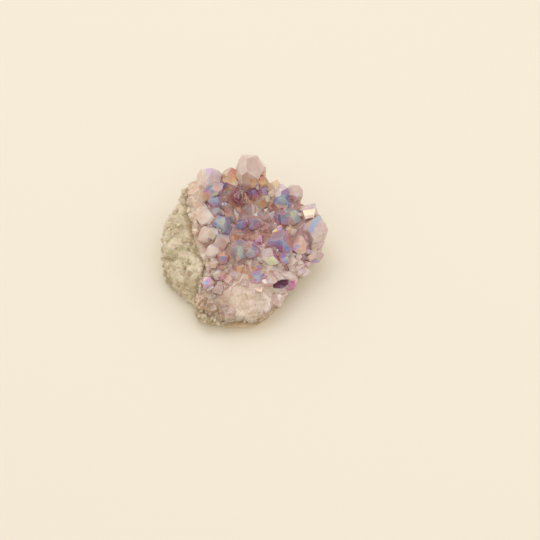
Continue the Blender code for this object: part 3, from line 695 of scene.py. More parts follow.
def spots(piece, count, accept, seed):
    """Places spread at random over a piece's surface: (place, normal) for each that accept() keeps."""
    mesh = piece.data
    source = random.Random(seed)
    totals, total = [], 0.0
    for face in mesh.polygons:
        total += face.area
        totals.append(total)
    found = []
    for _ in range(count * TRIES):
        index = min(bisect_left(totals, source.uniform(0, total)), len(totals) - 1)
        face = mesh.polygons[index]
        shares = [source.random() for _ in face.vertices]
        whole = sum(shares)
        place = Vector((0, 0, 0))
        for share, corner in zip(shares, face.vertices):
            place += mesh.vertices[corner].co * (share / whole)
        if accept(place, face.normal, face, source.random()):
            found.append((place, face.normal.copy()))
        if len(found) == count:
            break
    return found


def scattered(name, templates, placed):
    """One piece made of a copy of a template at each (matrix, values): the values are stored on the copy as
    attributes."""
    bm = bmesh.new()
    layers = {key: bm.verts.layers.float.new(key) for key in placed[0][1]}
    for index, (matrix, values) in enumerate(placed):
        copy = templates[index % len(templates)].copy()
        copy.transform(matrix)
        before = len(bm.verts)
        bm.from_mesh(copy)
        bm.verts.ensure_lookup_table()
        for vertex in bm.verts[before:]:
            for key, value in values.items():
                vertex[layers[key]] = value
        bpy.data.meshes.remove(copy)
    for vertex in bm.verts:
        vertex.co.z = max(0.0, vertex.co.z)
    mesh = bpy.data.meshes.new(name)
    bmesh.ops.recalc_face_normals(bm, faces=bm.faces)
    bm.to_mesh(mesh)
    bm.free()
    piece = bpy.data.objects.new(name, mesh)
    bpy.context.scene.collection.objects.link(piece)
    select_only(piece)
    bpy.ops.object.shade_flat()
    return piece


def pocket_share(place, wider=1.0):
    """How far a place lies inside the violet pocket, or one this many times as wide, from 0 to 1."""
    middle, half_length, half_width = POCKET
    aside = (place / MM - Vector(middle)) / wider
    outward = math.hypot(aside.x / half_length, aside.y / half_width, aside.z / half_width)
    return smooth_step(1.1, 0.8, outward)


def roughen(piece, rock):
    """Breaks the crust where it has no crystal faces, and stores at each point how open it is, how near an
    edge, how rough, how far down its crystal and how far into the pocket."""
    mesh = piece.data
    tree = tree_of(mesh)
    bm = bmesh.new()
    bm.from_mesh(mesh)
    massive = bm.faces.layers.float["massive"]
    found, moves = [], []
    for vertex in bm.verts:
        co = vertex.co
        rough = roughness_of(co, rock)
        slab = sum(face[massive] for face in vertex.link_faces) / len(vertex.link_faces)
        sharp = 0.0
        for edge in vertex.link_edges:
            if len(edge.link_faces) == 2 and edge.is_convex:
                sharp = max(sharp, min(1.0, edge.calc_face_angle() / 0.6))
        down = crystal_at(co - vertex.normal * JUST_INSIDE)[1]
        # How open the point is, which sets the painted shade in the crevices.
        free = openness(tree, co, vertex.normal)
        found.append((free, sharp, rough, max(0.0, down - TIP_LENGTH), pocket_share(co)))
        # Rough quartz is broken in chips of about 2 mm and 1 mm, with long folds instead down the left side.
        # The faces broken across at the front have wide, shallow chips.
        swell = noise.noise(co / (2.8 * MM))
        calm = smooth_step(-9.0, -12.5, co.x / MM) * smooth_step(-8.0, -2.0, co.y / MM)
        folds = noise.noise(Vector((co.x / 2.4, co.y / 2.4, co.z / 9.0)) / MM)
        height = rough * (1 - calm) * (0.25 * swell + 0.5 * chipped(co, 2.3) + 0.2 * chipped(co, 1.1))
        height += rough * calm * (0.55 * folds + 0.2 * chipped(co, 2.6))
        height += slab * (0.35 * chipped(co, 4.2) + 0.1 * chipped(co, 1.5))
        moves.append(co + vertex.normal * height * MM)
    for vertex, place in zip(bm.verts, moves):
        vertex.co = place
    bm.to_mesh(mesh)
    bm.free()
    store(mesh, "POINT", ("openness", "edge", "rough", "down", "pocket"), found)


# The size in mm and the detail of the crystals' patterns: the film's drift, milky clouds, healed cracks, the
# wobble of the growth rings and the ripple of the faces.
CRYSTAL_PATTERNS = [(3.0, 3), (2.6, 5), (1.6, 3), (1.5, 2), (1.1, 3)]


def flecked(node, place, colour, tint, size, edges, share, detail=3.0, roughness=0.5):
    """A colour with flecks of a tint over it: their size in mm, the noise at their edges and in their middle,
    and how far they cover the colour."""
    pattern = {"Vector": place, "Scale": 1 / (size * MM), "Detail": detail, "Roughness": roughness}
    fleck = node("ShaderNodeTexNoise", pattern)
    fleck = node("ShaderNodeMapRange", {0: fleck, 1: edges[0], 2: edges[1], 3: 0.0, 4: share})
    return node("ShaderNodeMix", {0: fleck, 6: colour, 7: tint}, **COLOUR_MIX)


def mottled(node, place, colour, tint):
    """A colour mottled with a tint, in patches of 1 to 2 mm."""
    return flecked(node, place, colour, tint, 1.6, (0.36, 0.72), 1.0, detail=4.0)


def coated_quartz():
    """Amethyst vapour-coated with metal: clear quartz seen through a film a few hundred nm thick, so that
    each face has its own soft interference colour, with cloudy roots and rust-brown painted shade in the
    crevices."""
    settings = bpy.context.scene.aura_crust
    made, node, shader, place = material("vapour_coated_amethyst")
    names = "chance strength milk massive glow openness edge rough down pocket film"
    chance, strength, milk, massive, glow, open_share, edge, rough, down, pocket, film = [
        node("ShaderNodeAttribute", out="Fac", attribute_name=name) for name in names.split()
    ]
    swirl, cloud, veil, wobble, ripple = [
        node("ShaderNodeTexNoise", {"Vector": place, "Scale": 1 / (size * MM), "Detail": detail})
        for size, detail in CRYSTAL_PATTERNS
    ]
    # The film is thickest at the tips, thins towards the roots and drifts a little over each face, but not
    # over a face painted with a flash of light.
    drift = node("ShaderNodeMapRange", {0: swirl, 1: 0.0, 2: 1.0, 3: -0.22, 4: 0.22})
    drift = node("ShaderNodeMath", {0: edge, 1: -0.12, 2: drift}, operation="MULTIPLY_ADD")
    drift = node("ShaderNodeMath", {0: down, 1: -FILM_DROP, 2: drift}, operation="MULTIPLY_ADD")
    plain = node("ShaderNodeMapRange", {0: glow, 3: 1.0, 4: 0.0})
    film = node("ShaderNodeMath", {0: drift, 1: plain, 2: film}, operation="MULTIPLY_ADD")
    film_colour = node("ShaderNodeValToRGB", {0: film}, stops=FILM_STOPS)
    # Clear mauve quartz, with milky clouds, and beige clay in the cracks near the rock.
    cloud = node("ShaderNodeMapRange", {0: cloud, 1: 0.36, 2: 0.68, 3: -0.1, 4: 0.4})
    milk = node("ShaderNodeMath", {0: cloud, 1: milk}, operation="ADD")
    solid = node("ShaderNodeMath", {0: massive, 1: rough}, operation="MAXIMUM")
    milk = node("ShaderNodeMath", {0: milk, 1: solid}, operation="MAXIMUM", use_clamp=True)
    body = node("ShaderNodeMix", {0: milk, 6: settings.body, 7: settings.milky}, **COLOUR_MIX)
    clay = mottled(node, place, settings.blush, settings.stained)
    body = node("ShaderNodeMix", {0: rough, 6: body, 7: clay}, **COLOUR_MIX)
    # Quartz broken across has bent cracks, some mm apart.
    bent = node("ShaderNodeTexNoise", {"Vector": place, "Scale": 1 / (2.5 * MM)}, out="Color")
    bent = node("ShaderNodeVectorMath", {0: bent, 1: (2.0 * MM,) * 3}, operation="MULTIPLY")
    bent = node("ShaderNodeVectorMath", {0: place, 1: bent}, operation="ADD")
    cells = {"Vector": bent, "Scale": 1 / (3.6 * MM)}
    crack = node("ShaderNodeTexVoronoi", cells, feature="DISTANCE_TO_EDGE")
    crack = node("ShaderNodeMapRange", {0: crack, 1: 0.0, 2: 0.05, 3: 0.4, 4: 0.0})
    slab = mottled(node, place, settings.slab, settings.milky)
    slab = node("ShaderNodeMix", {0: crack, 6: slab, 7: TINTS["crack"]}, **COLOUR_MIX)
    body = node("ShaderNodeMix", {0: massive, 6: body, 7: slab}, **COLOUR_MIX)
    # Brown clay soaks the broken crystals at the front left, and everything low down turns browner towards
    # the floor, below 8 mm.
    brown = node("ShaderNodeVectorMath", {0: place, 1: BROWN_FOOT * MM}, out=1, operation="DISTANCE")
    brown = node("ShaderNodeMapRange", {0: brown, 1: 9.0 * MM, 2: 5.5 * MM, 3: 0.0, 4: 0.65})
    low = node("ShaderNodeSeparateXYZ", {0: place}, out=2)
    low = node("ShaderNodeMapRange", {0: low, 1: 8.0 * MM, 2: 4.0 * MM, 3: 0.0, 4: 0.75})
    brown = node("ShaderNodeMath", {0: brown, 1: low}, operation="MAXIMUM")
    body = node("ShaderNodeMix", {0: brown, 6: body, 7: TINTS["clay"]}, **COLOUR_MIX)
    # The coating hardly took on the rough quartz.
    taken = node("ShaderNodeMapRange", {0: rough, 3: 1.0, 4: 0.12})
    strength = node("ShaderNodeMath", {0: strength, 1: taken}, operation="MULTIPLY")
    share = node("ShaderNodeMath", {0: strength, 1: 0.84}, operation="MULTIPLY")
    coated = node("ShaderNodeMix", {0: share, 6: body, 7: film_colour}, **COLOUR_MIX)
    # Fine healed cracks show as pale veils. Small glints are painted pale over the faces, and each face is
    # painted a little lighter or darker at random, as if it caught the light its own way.
    veil = node("ShaderNodeMath", {0: veil, 1: 0.5}, operation="SUBTRACT")
    veil = node("ShaderNodeMath", {0: veil}, operation="ABSOLUTE")
    veil = node("ShaderNodeMapRange", {0: veil, 1: 0.0, 2: 0.04, 3: 0.35, 4: 0.0})
    coated = node("ShaderNodeMix", {0: veil, 6: coated, 7: TINTS["veil"]}, **COLOUR_MIX)
    coated = flecked(node, place, coated, TINTS["glint"], 0.55, (0.61, 0.69), 0.55, detail=2.0)
    tone = node("ShaderNodeMapRange", {0: chance, 3: 0.88, 4: 1.08})
    coated = node("ShaderNodeHueSaturation", {"Color": coated, "Value": tone})
    # Painted highlights: thin pale lines along the sharp edges.
    line = node("ShaderNodeMath", {0: edge, 1: 3.0}, operation="POWER")
    line = node("ShaderNodeMath", {0: line, 1: 0.5}, operation="MULTIPLY")
    coated = node("ShaderNodeMix", {0: line, 6: coated, 7: TINTS["painted edge highlight"]}, **COLOUR_MIX)
    # Painted shade between the crystals: rust-brown where little of the space around is open, least where the
    # coating is strong.
    exposed = node("ShaderNodeMapRange", {0: open_share, 1: 0.12, 2: 0.46})
    reached = node("ShaderNodeMath", {0: strength, 1: 0.6}, operation="MULTIPLY")
    exposed = node("ShaderNodeMath", {0: exposed, 1: reached}, operation="MAXIMUM")
    colour = node("ShaderNodeMix", {0: exposed, 6: settings.crevice_shade, 7: coated}, **COLOUR_MIX)
    # Growth rings in the broken crystal, brown in the middle.
    middle, reach = RINGS
    wobble = node("ShaderNodeMapRange", {0: wobble, 3: -1.2 * MM, 4: 1.2 * MM})
    away = node("ShaderNodeVectorMath", {0: place, 1: Vector(middle) * MM}, out=1, operation="DISTANCE")
    away = node("ShaderNodeMath", {0: away, 1: wobble}, operation="ADD")
    ring = node("ShaderNodeMath", {0: away, 1: 0.45 * MM}, operation="PINGPONG")
    ring = node("ShaderNodeMapRange", {0: ring, 1: 0.1 * MM, 2: 0.35 * MM})
    ring = node("ShaderNodeMix", {0: ring, 6: TINTS["dark ring"], 7: TINTS["light ring"]}, **COLOUR_MIX)
    core = node("ShaderNodeMapRange", {0: away, 1: 1.5 * MM, 2: 0.7 * MM})
    ring = node("ShaderNodeMix", {0: core, 6: ring, 7: TINTS["ring middle"]}, **COLOUR_MIX)
    inside = node("ShaderNodeMapRange", {0: away, 1: reach * MM, 2: 0.6 * reach * MM, 3: 0.0, 4: 0.88})
    colour = node("ShaderNodeMix", {0: inside, 6: colour, 7: ring}, **COLOUR_MIX)
    # Painted highlights: faces that flash are painted bright, from their film colour towards near white.
    flash = node("ShaderNodeMix", {0: 0.5, 6: film_colour, 7: TINTS["flash"]}, **COLOUR_MIX)
    colour = node("ShaderNodeMix", {0: glow, 6: colour, 7: flash}, **COLOUR_MIX)
    # Deep violet shards in the pocket, magenta at its right end.
    far = node("ShaderNodeSeparateXYZ", {0: place}, out=0)
    far = node("ShaderNodeMapRange", {0: far, 1: 15.0 * MM, 2: 17.0 * MM})
    shard = node("ShaderNodeTexVoronoi", {"Vector": place, "Scale": 1 / (1.1 * MM)}, out="Color")
    shard = node("ShaderNodeMapRange", {0: shard, 1: 0.35, 2: 0.65})
    violet = node("ShaderNodeMix", {0: shard, 6: TINTS["pocket"], 7: TINTS["pocket shard"]}, **COLOUR_MIX)
    violet = node("ShaderNodeMix", {0: far, 6: violet, 7: TINTS["pocket end"]}, **COLOUR_MIX)
    colour = node("ShaderNodeMix", {0: pocket, 6: colour, 7: violet}, **COLOUR_MIX)
    # Light goes through where the quartz is clear and exposed, and neither rough nor painted with a flash.
    clear = node("ShaderNodeMapRange", {0: exposed, 3: 0.08, 4: 0.42})
    cloudy = node("ShaderNodeMapRange", {0: milk, 3: 1.0, 4: 0.3})
    clear = node("ShaderNodeMath", {0: clear, 1: cloudy}, operation="MULTIPLY")
    blocked = node("ShaderNodeMath", {0: rough, 1: glow}, operation="MAXIMUM")
    blocked = node("ShaderNodeMapRange", {0: blocked, 3: 1.0, 4: 0.0})
    gloss = node("ShaderNodeMapRange", {0: chance, 3: 0.08, 4: 0.2})
    broken = node("ShaderNodeMath", {0: rough, 1: 0.42}, operation="MULTIPLY")
    thick = node("ShaderNodeMapRange", {0: film, 3: FILM_NM[0], 4: FILM_NM[1]})
    shown = node("ShaderNodeMapRange", {0: strength, 1: 0.1, 2: 0.45})
    shader({
        "Base Color": colour,
        "Transmission Weight": node("ShaderNodeMath", {0: clear, 1: blocked}, operation="MULTIPLY"),
        "Roughness": node("ShaderNodeMath", {0: gloss, 1: broken}, operation="MAXIMUM"),
        "Metallic": node("ShaderNodeMath", {0: strength, 1: 0.12}, operation="MULTIPLY"),
        "IOR": QUARTZ_IOR,
        "Subsurface Weight": 0.6,
        "Subsurface Radius": (1.0, 0.7, 0.65),
        "Subsurface Scale": 4.0 * MM,
        "Thin Film Thickness": node("ShaderNodeMath", {0: thick, 1: shown}, operation="MULTIPLY"),
        "Thin Film IOR": COATING_IOR,
        "Normal": node("ShaderNodeBump", {"Height": ripple, "Distance": 0.05 * MM, "Strength": 0.5}),
    })
    absorb = node("ShaderNodeVolumeAbsorption", {"Color": TINTS["depth"], "Density": 25.0})
    connect(made.node_tree, made.node_tree.nodes["Material Output"].inputs, {"Volume": absorb})
    return made


def rusty_quartz():
    """Massive quartz under and between the crystals, full of rusty cracks and thinly coated: glassy, mauve to
    orange brown, and beige with clay near the rock."""
    settings = bpy.context.scene.aura_crust
    made, node, shader, place = material("rusty_quartz")
    film, strength, open_share, rough, pocket = [
        node("ShaderNodeAttribute", out="Fac", attribute_name=name)
        for name in ("film", "strength", "openness", "rough", "pocket")
    ]
    film_colour = node("ShaderNodeValToRGB", {0: film}, stops=FILM_STOPS)
    clay = mottled(node, place, settings.blush, settings.stained)
    body = flecked(node, place, settings.bed, TINTS["rust"], 1.9, (0.5, 0.6), 0.6, roughness=0.7)
    body = node("ShaderNodeMix", {0: rough, 6: body, 7: clay}, **COLOUR_MIX)
    share = node("ShaderNodeMath", {0: strength, 1: 0.7}, operation="MULTIPLY")
    colour = node("ShaderNodeMix", {0: share, 6: body, 7: film_colour}, **COLOUR_MIX)
    # Painted highlights: small pale glints fleck the bed.
    colour = flecked(node, place, colour, TINTS["fleck"], 0.7, (0.58, 0.68), 0.65)
    # Painted shade: the bed takes the rust-brown crevice colour where the crystals close it in.
    exposed = node("ShaderNodeMapRange", {0: open_share, 1: 0.16, 2: 0.62})
    colour = node("ShaderNodeMix", {0: exposed, 6: settings.crevice_shade, 7: colour}, **COLOUR_MIX)
    shader({
        "Base Color": node("ShaderNodeMix", {0: pocket, 6: colour, 7: TINTS["pocket bed"]}, **COLOUR_MIX),
        "Roughness": 0.22,
        "IOR": QUARTZ_IOR,
        "Subsurface Weight": 0.6,
        "Subsurface Radius": (1.0, 0.65, 0.6),
        "Subsurface Scale": 3.0 * MM,
    })
    return made


class AURA_OT_crystal_crust(bpy.types.Operator):
    """The coated crystals, with flat facets and a finish of their own on each"""

    bl_idname = "aura.crystal_crust"
    bl_label = "Crystal crust"

    def execute(self, context):
        settings = context.scene.aura_crust
        piece = copy_of_node("crystal_crust", "aura_crystals")
        bpy.ops.object.mode_set(mode="EDIT")
        bpy.ops.mesh.select_all(action="SELECT")
        bpy.ops.mesh.dissolve_limited(angle_limit=math.radians(0.5))
        bpy.ops.object.mode_set(mode="OBJECT")
        split_facets()
        facet_attributes(piece.data, seed=3)
        divide_long_edges(settings.facet_grid, rounds=5)
        bpy.ops.object.shade_flat()
        roughen(piece, tree_of(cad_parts["matrix"].data))
        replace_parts(to_root(piece, coated_quartz()), "crystal_crust")
        return {"FINISHED"}


class AURA_OT_quartz_bed(bpy.types.Operator):
    """The massive quartz under the crystals, which also fills the narrow gaps between them"""

    bl_idname = "aura.quartz_bed"
    bl_label = "Quartz bed"

    def execute(self, context):
        settings = context.scene.aura_crust
        piece = copy_of_node("crystal_crust", "quartz_bed")
        # Grown and then shrunk further, the solid loses the narrow gaps and ends up under the crystals.
        for distance in (settings.bed_fill, -settings.bed_fill - settings.bed_depth, 0.0):
            even_mesh(piece, settings.bed_mesh)
            if distance:
                offset = piece.modifiers.new("Grow and shrink", "DISPLACE")
                offset.mid_level = 0.0
                offset.strength = distance
                bpy.ops.object.modifier_apply(modifier=offset.name)
        smooth = piece.modifiers.new("Ease", "SMOOTH")
        smooth.iterations = 4
        bpy.ops.object.modifier_apply(modifier=smooth.name)
        crystals = tree_of(bpy.data.objects["aura_crystals"].data)
        rock = tree_of(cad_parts["matrix"].data)
        found, moves = [], []
        for vertex in piece.data.vertices:
            place, normal = vertex.co.copy(), vertex.normal.copy()
            chance = noise.cell_vector(noise.voronoi(place / (2.0 * MM))[1][0] * 5.1)[0]
            film, strength, _ = finish_of(place, chance)
            # How open the point is under the crystals, which sets the painted shade in the gaps.
            free = openness(crystals, place, normal)
            found.append((film, 0.7 * strength, free, roughness_of(place, rock), pocket_share(place)))
            height = 0.5 * chipped(place, 2.0) - POCKET_DEPTH * pocket_share(place, wider=1.35)
            moves.append(place + normal * height * MM)
        store(piece.data, "POINT", ("film", "strength", "openness", "rough", "pocket"), found)
        piece.data.vertices.foreach_set("co", [number for place in moves for number in place])
        bpy.ops.object.shade_flat()
        to_root(piece, rusty_quartz())
        return {"FINISHED"}


def standing(place, normal, size, source, sway=0.35):
    """A matrix that stands a template on a surface, turned and leaning at random."""
    up = (normal + Vector([source.uniform(-sway, sway) for _ in range(3)])).normalized()
    turned = Matrix.Rotation(source.uniform(0, math.tau), 4, "Z")
    widths = [source.uniform(0.8, 1.15), source.uniform(0.8, 1.15)]
    shape = Matrix.Diagonal((*widths, source.uniform(0.85, 1.4), 1))
    upright = Matrix.Translation(place) @ up.to_track_quat("Z", "Y").to_matrix().to_4x4()
    return upright @ turned @ shape @ Matrix.Scale(size, 4)


def patch_at(place):
    """The thin end, the thick end and the strength of the coating in the patch of druse here, if any."""
    for middle, radius, *coating in DRUSE_PATCHES:
        if (place / MM - Vector(middle)).length < radius:
            return coating
    return None


class AURA_OT_druse(bpy.types.Operator):
    """The smallest crystals, which fill the crevices between the large ones"""

    bl_idname = "aura.druse"
    bl_label = "Druse"

    def execute(self, context):
        settings = context.scene.aura_crust
        crystals = bpy.data.objects["aura_crystals"]
        open_share = stored_at_points(crystals.data, "openness")
        rough = stored_at_points(crystals.data, "rough")

        def in_crevice(place, normal, face, chance):
            corner = face.vertices[0]
            if rough[corner] > 0.7 or place.z < 5 * MM or normal.z < -0.1 or pocket_share(place) > 0:
                return False
            return 0.10 < open_share[corner] < (0.55 if patch_at(place) else 0.22)

        source = random.Random(21)
        placed = []
        for place, normal in spots(crystals, settings.point_count, in_crevice, seed=4):
            size = settings.point_size * source.uniform(0.6, 1.7)
            chance = source.random()
            film, strength, milk = finish_of(place, chance)
            patch = patch_at(place)
            if patch:
                thin, thick, strength = patch
                film = thin + (thick - thin) * chance
            # They lean upwards and a little away from the middle of the cluster.
            outward = (normal * 0.7 + Vector((place.x * 6, place.y * 6, 0.5))).normalized()
            values = LOOSE | {
                "film": film,
                "strength": min(0.75 if patch else 0.3, strength * source.uniform(0.3, 1.2)),
                "milk": min(1.0, milk + source.uniform(0, 0.4)),
                "chance": chance,
                # About one small crystal in ten in a patch is painted with a flash of light.
                "glow": 0.7 if source.random() < 0.1 and patch else 0.0,
                # A set openness, which gives each small crystal a little of the painted crevice shade.
                "openness": 0.3 + 0.2 * chance,
            }
            placed.append((standing(place + outward * size * 0.4, outward, size, source), values))
        piece = scattered("druse_points", [template("point", "point")], placed)
        to_root(piece, crystals.data.materials[0])
        return {"FINISHED"}


class AURA_OT_quartz_chips(bpy.types.Operator):
    """Angular chips of broken quartz along the edge of the rock"""

    bl_idname = "aura.quartz_chips"
    bl_label = "Quartz chips"

    def execute(self, context):
        settings = context.scene.aura_crust
        crystals = bpy.data.objects["aura_crystals"]
        rough = stored_at_points(crystals.data, "rough")

        def on_rough(place, normal, face, chance):
            low = 2 * MM < place.z < 12 * MM and place.y < -13 * MM
            return low and chance < rough[face.vertices[0]] and normal.z > -0.5 and not pocket_share(place)

        source = random.Random(8)
        placed = []
        for place, normal in spots(crystals, settings.chip_count, on_rough, seed=6):
            size = settings.chip_size * source.uniform(0.5, 1.6)
            values = LOOSE | {
                "film": source.random(),
                "strength": 0.25 * source.random() ** 4,
                "milk": source.uniform(0.7, 1.0),
                "chance": source.random(),
                # A set openness, which gives each chip a little of the painted crevice shade.
                "openness": 0.42 + 0.2 * source.random(),
                "rough": source.uniform(0.5, 1.0),
            }
            placed.append((standing(place, normal, size, source, sway=1.0), values))
        piece = scattered("quartz_chips", [template(f"chip_{n}", "chip") for n in range(4)], placed)
        to_root(piece, crystals.data.materials[0])
        return {"FINISHED"}


# ---------------------------------------------------------------- rock

RIND_REACH = 3 * MM  # how far the rind goes from the crystals into the rock
CLOSE_GAP = 0.9 * MM  # rock nearer to a crystal than this is drawn on to it


def cream_share(place):
    """How far a place lies in the smooth cream seam along the front of the rock, from 0 to 1."""
    return smooth_step(-7.0, -3.0, place.x / MM) * smooth_step(-17.0, -20.0, place.y / MM)


def weathered_rock():
    """Weathered, clay-bound rock: matt and granular, beige with olive and rusty stain."""
    settings = bpy.context.scene.aura_rock
    made, node, shader, place = material("weathered_rock")
    pale, near_crystal, cream = [
        node("ShaderNodeAttribute", out="Fac", attribute_name=name)
        for name in ("pale", "near_crystal", "cream")
    ]
    # Broad stains some mm across, and fine ones with pits of under 1 mm.
    broad, fine = [
        node("ShaderNodeTexNoise", {"Vector": place, "Scale": 1 / (size * MM), "Detail": detail})
        for size, detail in ((6.0, 4.0), (0.9, 5.0))
    ]
    cells = node("ShaderNodeTexVoronoi", {"Vector": place, "Scale": 1 / (1.3 * MM)}, out="Color")
    # The stain fades towards the back of the rock, so that its upper part in the view is paler.
    broad = node("ShaderNodeMapRange", {0: broad, 1: 0.40, 2: 0.66})
    back_fade = node("ShaderNodeSeparateXYZ", {0: place}, out=1)
    back_fade = node("ShaderNodeMapRange", {0: back_fade, 1: -4.0 * MM, 2: 10.0 * MM, 3: 1.0, 4: 0.45})
    broad = node("ShaderNodeMath", {0: broad, 1: back_fade}, operation="MULTIPLY")
    colour = node("ShaderNodeMix", {0: broad, 6: settings.pale, 7: settings.stain}, **COLOUR_MIX)
    pits = node("ShaderNodeMapRange", {0: fine, 1: 0.45, 2: 0.7, 3: 0.0, 4: 0.55})
    colour = node("ShaderNodeMix", {0: pits, 6: colour, 7: settings.stain}, **COLOUR_MIX)
    # Each grain differs a little in colour from the next.
    colour = node("ShaderNodeMix", {0: 0.1, 6: colour, 7: cells}, blend_type="SOFT_LIGHT", **COLOUR_MIX)
    colour = flecked(node, place, colour, TINTS["grit"], 0.55, (0.58, 0.68), 0.6, detail=2.0)
    crumb = node("ShaderNodeMapRange", {0: pale, 1: 0.5, 2: 1.0, 3: 0.0, 4: 0.5})
    rusty = node("ShaderNodeMapRange", {0: near_crystal, 1: 0.05, 2: 0.6, 3: 0.0, 4: 0.9})
    for share, tint in ((crumb, TINTS["pale crumb"]), (cream, TINTS["cream seam"]), (rusty, settings.rind)):
        colour = node("ShaderNodeMix", {0: share, 6: colour, 7: tint}, **COLOUR_MIX)
    relief = node("ShaderNodeBump", {"Height": fine, "Distance": 0.25 * MM, "Strength": 0.7})
    shader({"Base Color": colour, "Roughness": 0.88, "Normal": relief})
    return made


class AURA_OT_rock_matrix(bpy.types.Operator):
    """The rock, crumbly and weathered, and grown on to the crystals with no gap"""

    bl_idname = "aura.rock_matrix"
    bl_label = "Rock matrix"

    def execute(self, context):
        settings = context.scene.aura_rock
        piece = copy_of_node("matrix", "rock_lump")
        even_mesh(piece, settings.voxel)
        tree = tree_of(bpy.data.objects["aura_crystals"].data)
        mesh = piece.data
        found, moves = [], []
        for vertex in mesh.vertices:
            co = vertex.co
            hit, _, _, distance = tree.find_nearest(co, RIND_REACH)
            near = 0.0 if hit is None else max(0.0, 1 - distance / RIND_REACH)
            cream = cream_share(co)
            found.append((near**2.4, cream))
            if hit is not None and distance < CLOSE_GAP:
                moves.append(co + (hit - co) * (1 + 0.2 * MM / max(distance, 0.05 * MM)))
                continue
            # Lumps some mm across, with grains of about 2 mm and 1 mm on them, and all lower on the seam.
            lumps = noise.noise(co / (3.6 * MM)) + 0.5 * noise.noise(co / (1.6 * MM))
            cells = 0.5 - noise.noise(co / (1.9 * MM), noise_basis="VORONOI_F1")
            fine = 0.5 - noise.noise(co / (0.9 * MM), noise_basis="VORONOI_F1")
            height = settings.crumb_height * (lumps + 1.1 * cells + 0.6 * fine) * (1 - 0.7 * cream)
            # The underside stays flat.
            if co.z < 1 * MM:
                height *= max(0.0, co.z / MM)
            moves.append(co + vertex.normal * height)
        for vertex, place in zip(mesh.vertices, moves):
            vertex.co = (place.x, place.y, max(0.0, place.z))
        store(mesh, "POINT", ("near_crystal", "cream"), found)
        bpy.ops.object.shade_smooth()
        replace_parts(to_root(piece, weathered_rock()), "matrix")
        return {"FINISHED"}


class AURA_OT_rock_crumbs(bpy.types.Operator):
    """Separate crumbs that stand out of the weathered rock"""

    bl_idname = "aura.rock_crumbs"
    bl_label = "Rock crumbs"

    def execute(self, context):
        settings = context.scene.aura_rock
        rock = bpy.data.objects["rock_lump"]
        source = random.Random(17)

        def on_top(place, normal, face, chance):
            return place.z > 1.2 * MM and normal.z > -0.6 and chance > cream_share(place)

        placed = []
        for place, normal in spots(rock, settings.crumb_count, on_top, seed=9):
            size = settings.crumb_size * source.uniform(0.4, 1.0) ** 2 * 1.9
            values = {"near_crystal": 0.3 * source.random(), "pale": source.random(), "cream": 0.0}
            placed.append((standing(place, normal, size, source, sway=1.0), values))
        piece = scattered("rock_crumbs", [template(f"crumb_{n}", "chip") for n in range(4)], placed)
        to_root(piece, rock.data.materials[0])
        return {"FINISHED"}


# ---------------------------------------------------------------- stage


def matt_paper(colour):
    """Uncoated paper: matt and even, so that it shows soft shadows and no reflections."""
    made, _, shader, _ = material("matt_paper")
    shader({"Base Color": colour, "Roughness": 0.9})
    return made


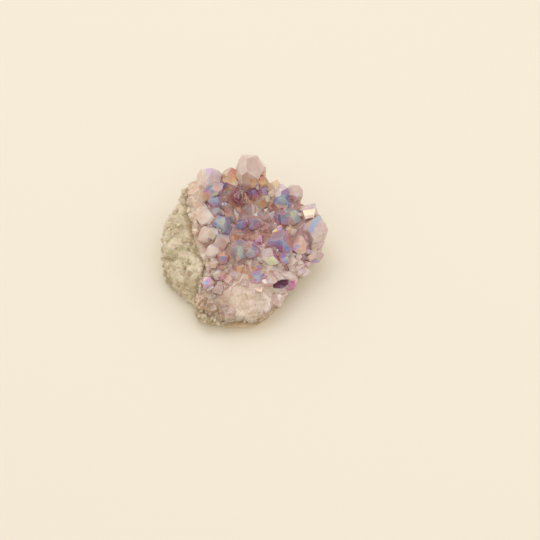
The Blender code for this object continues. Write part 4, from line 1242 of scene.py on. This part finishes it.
class AURA_OT_stage(bpy.types.Operator):
    """A pale floor, soft light and the camera"""

    bl_idname = "aura.stage"
    bl_label = "Stage"

    def execute(self, context):
        settings = context.scene.aura_stage
        bpy.ops.object.select_all(action="DESELECT")
        bpy.ops.mesh.primitive_plane_add(size=FLOOR_WIDTH, location=(0, 0, 0))
        floor = context.object
        floor.name = "floor"
        floor.data.materials.append(matt_paper(settings.floor))
        self.lights(context)
        self.camera(context, settings)
        return {"FINISHED"}

    def lights(self, context):
        """A pale room all round, and the lamps."""
        world = bpy.data.worlds.new("soft_room")
        context.scene.world = world
        world.use_nodes = True
        tree = world.node_tree
        node = partial(add, tree)
        rise = node("ShaderNodeSeparateXYZ", {0: node("ShaderNodeTexCoord", out="Generated")}, out=2)
        sky = node("ShaderNodeValToRGB", {0: rise}, stops=[(share, linear(colour)) for share, colour in SKY])
        connect(tree, tree.nodes["Background"].inputs, {"Color": sky, "Strength": SKY_STRENGTH})
        for name, (place, width, power, colour) in LAMPS.items():
            lamp = bpy.data.lights.new(name, "AREA")
            lamp.energy = power
            lamp.size = width
            lamp.color = linear(colour)[:3]
            holder = bpy.data.objects.new(name, lamp)
            context.scene.collection.objects.link(holder)
            holder.location = place
            holder.rotation_euler = (-Vector(place)).to_track_quat("-Z", "Y").to_euler()
        context.scene.view_settings.view_transform = "Standard"

    def camera(self, context, settings):
        """A camera in front of the cluster, looking down on it."""
        eye = bpy.data.cameras.new("camera")
        holder = bpy.data.objects.new("camera", eye)
        context.scene.collection.objects.link(holder)
        eye.lens = LENS_MM
        eye.sensor_width = SENSOR_MM
        eye.clip_start = 0.01
        back = Vector((0, -math.cos(settings.elevation), math.sin(settings.elevation)))
        holder.location = Vector(VIEW_MIDDLE) * MM + back * settings.distance
        holder.rotation_mode = "QUATERNION"
        holder.rotation_quaternion = (-back).to_track_quat("-Z", "Y")
        context.scene.camera = holder


# ---------------------------------------------------------------- add-on


class AURA_PT_cluster(bpy.types.Panel):
    """The settings of each group of pieces, with the steps that build them"""

    bl_idname = "AURA_PT_cluster"
    bl_label = "Aura amethyst cluster"
    bl_space_type = "VIEW_3D"
    bl_region_type = "UI"
    bl_category = "Aura cluster"

    def draw(self, context):
        for group, steps in LISTED:
            settings = getattr(context.scene, group)
            for name in settings.__annotations__:
                self.layout.prop(settings, name)
            for step in steps:
                self.layout.operator(step.bl_idname)


LISTED = [
    ("aura_crust", [AURA_OT_crystal_crust, AURA_OT_quartz_bed, AURA_OT_druse, AURA_OT_quartz_chips]),
    ("aura_rock", [AURA_OT_rock_matrix, AURA_OT_rock_crumbs]),
    ("aura_stage", [AURA_OT_stage]),
]
OPERATORS = [step for _, steps in LISTED for step in steps]
CLASSES = [CrustSettings, RockSettings, StageSettings, *OPERATORS, AURA_PT_cluster]


def register():
    for made in CLASSES:
        bpy.utils.register_class(made)
    bpy.types.Scene.aura_crust = bpy.props.PointerProperty(type=CrustSettings)
    bpy.types.Scene.aura_rock = bpy.props.PointerProperty(type=RockSettings)
    bpy.types.Scene.aura_stage = bpy.props.PointerProperty(type=StageSettings)


def unregister():
    del bpy.types.Scene.aura_stage
    del bpy.types.Scene.aura_rock
    del bpy.types.Scene.aura_crust
    for made in reversed(CLASSES):
        bpy.utils.unregister_class(made)


def main():
    register()
    bpy.ops.aura.crystal_crust()
    bpy.ops.aura.quartz_bed()
    bpy.ops.aura.druse()
    bpy.ops.aura.quartz_chips()
    bpy.ops.aura.rock_matrix()
    bpy.ops.aura.rock_crumbs()
    bpy.ops.aura.stage()


if __name__ == "__main__":
    main()
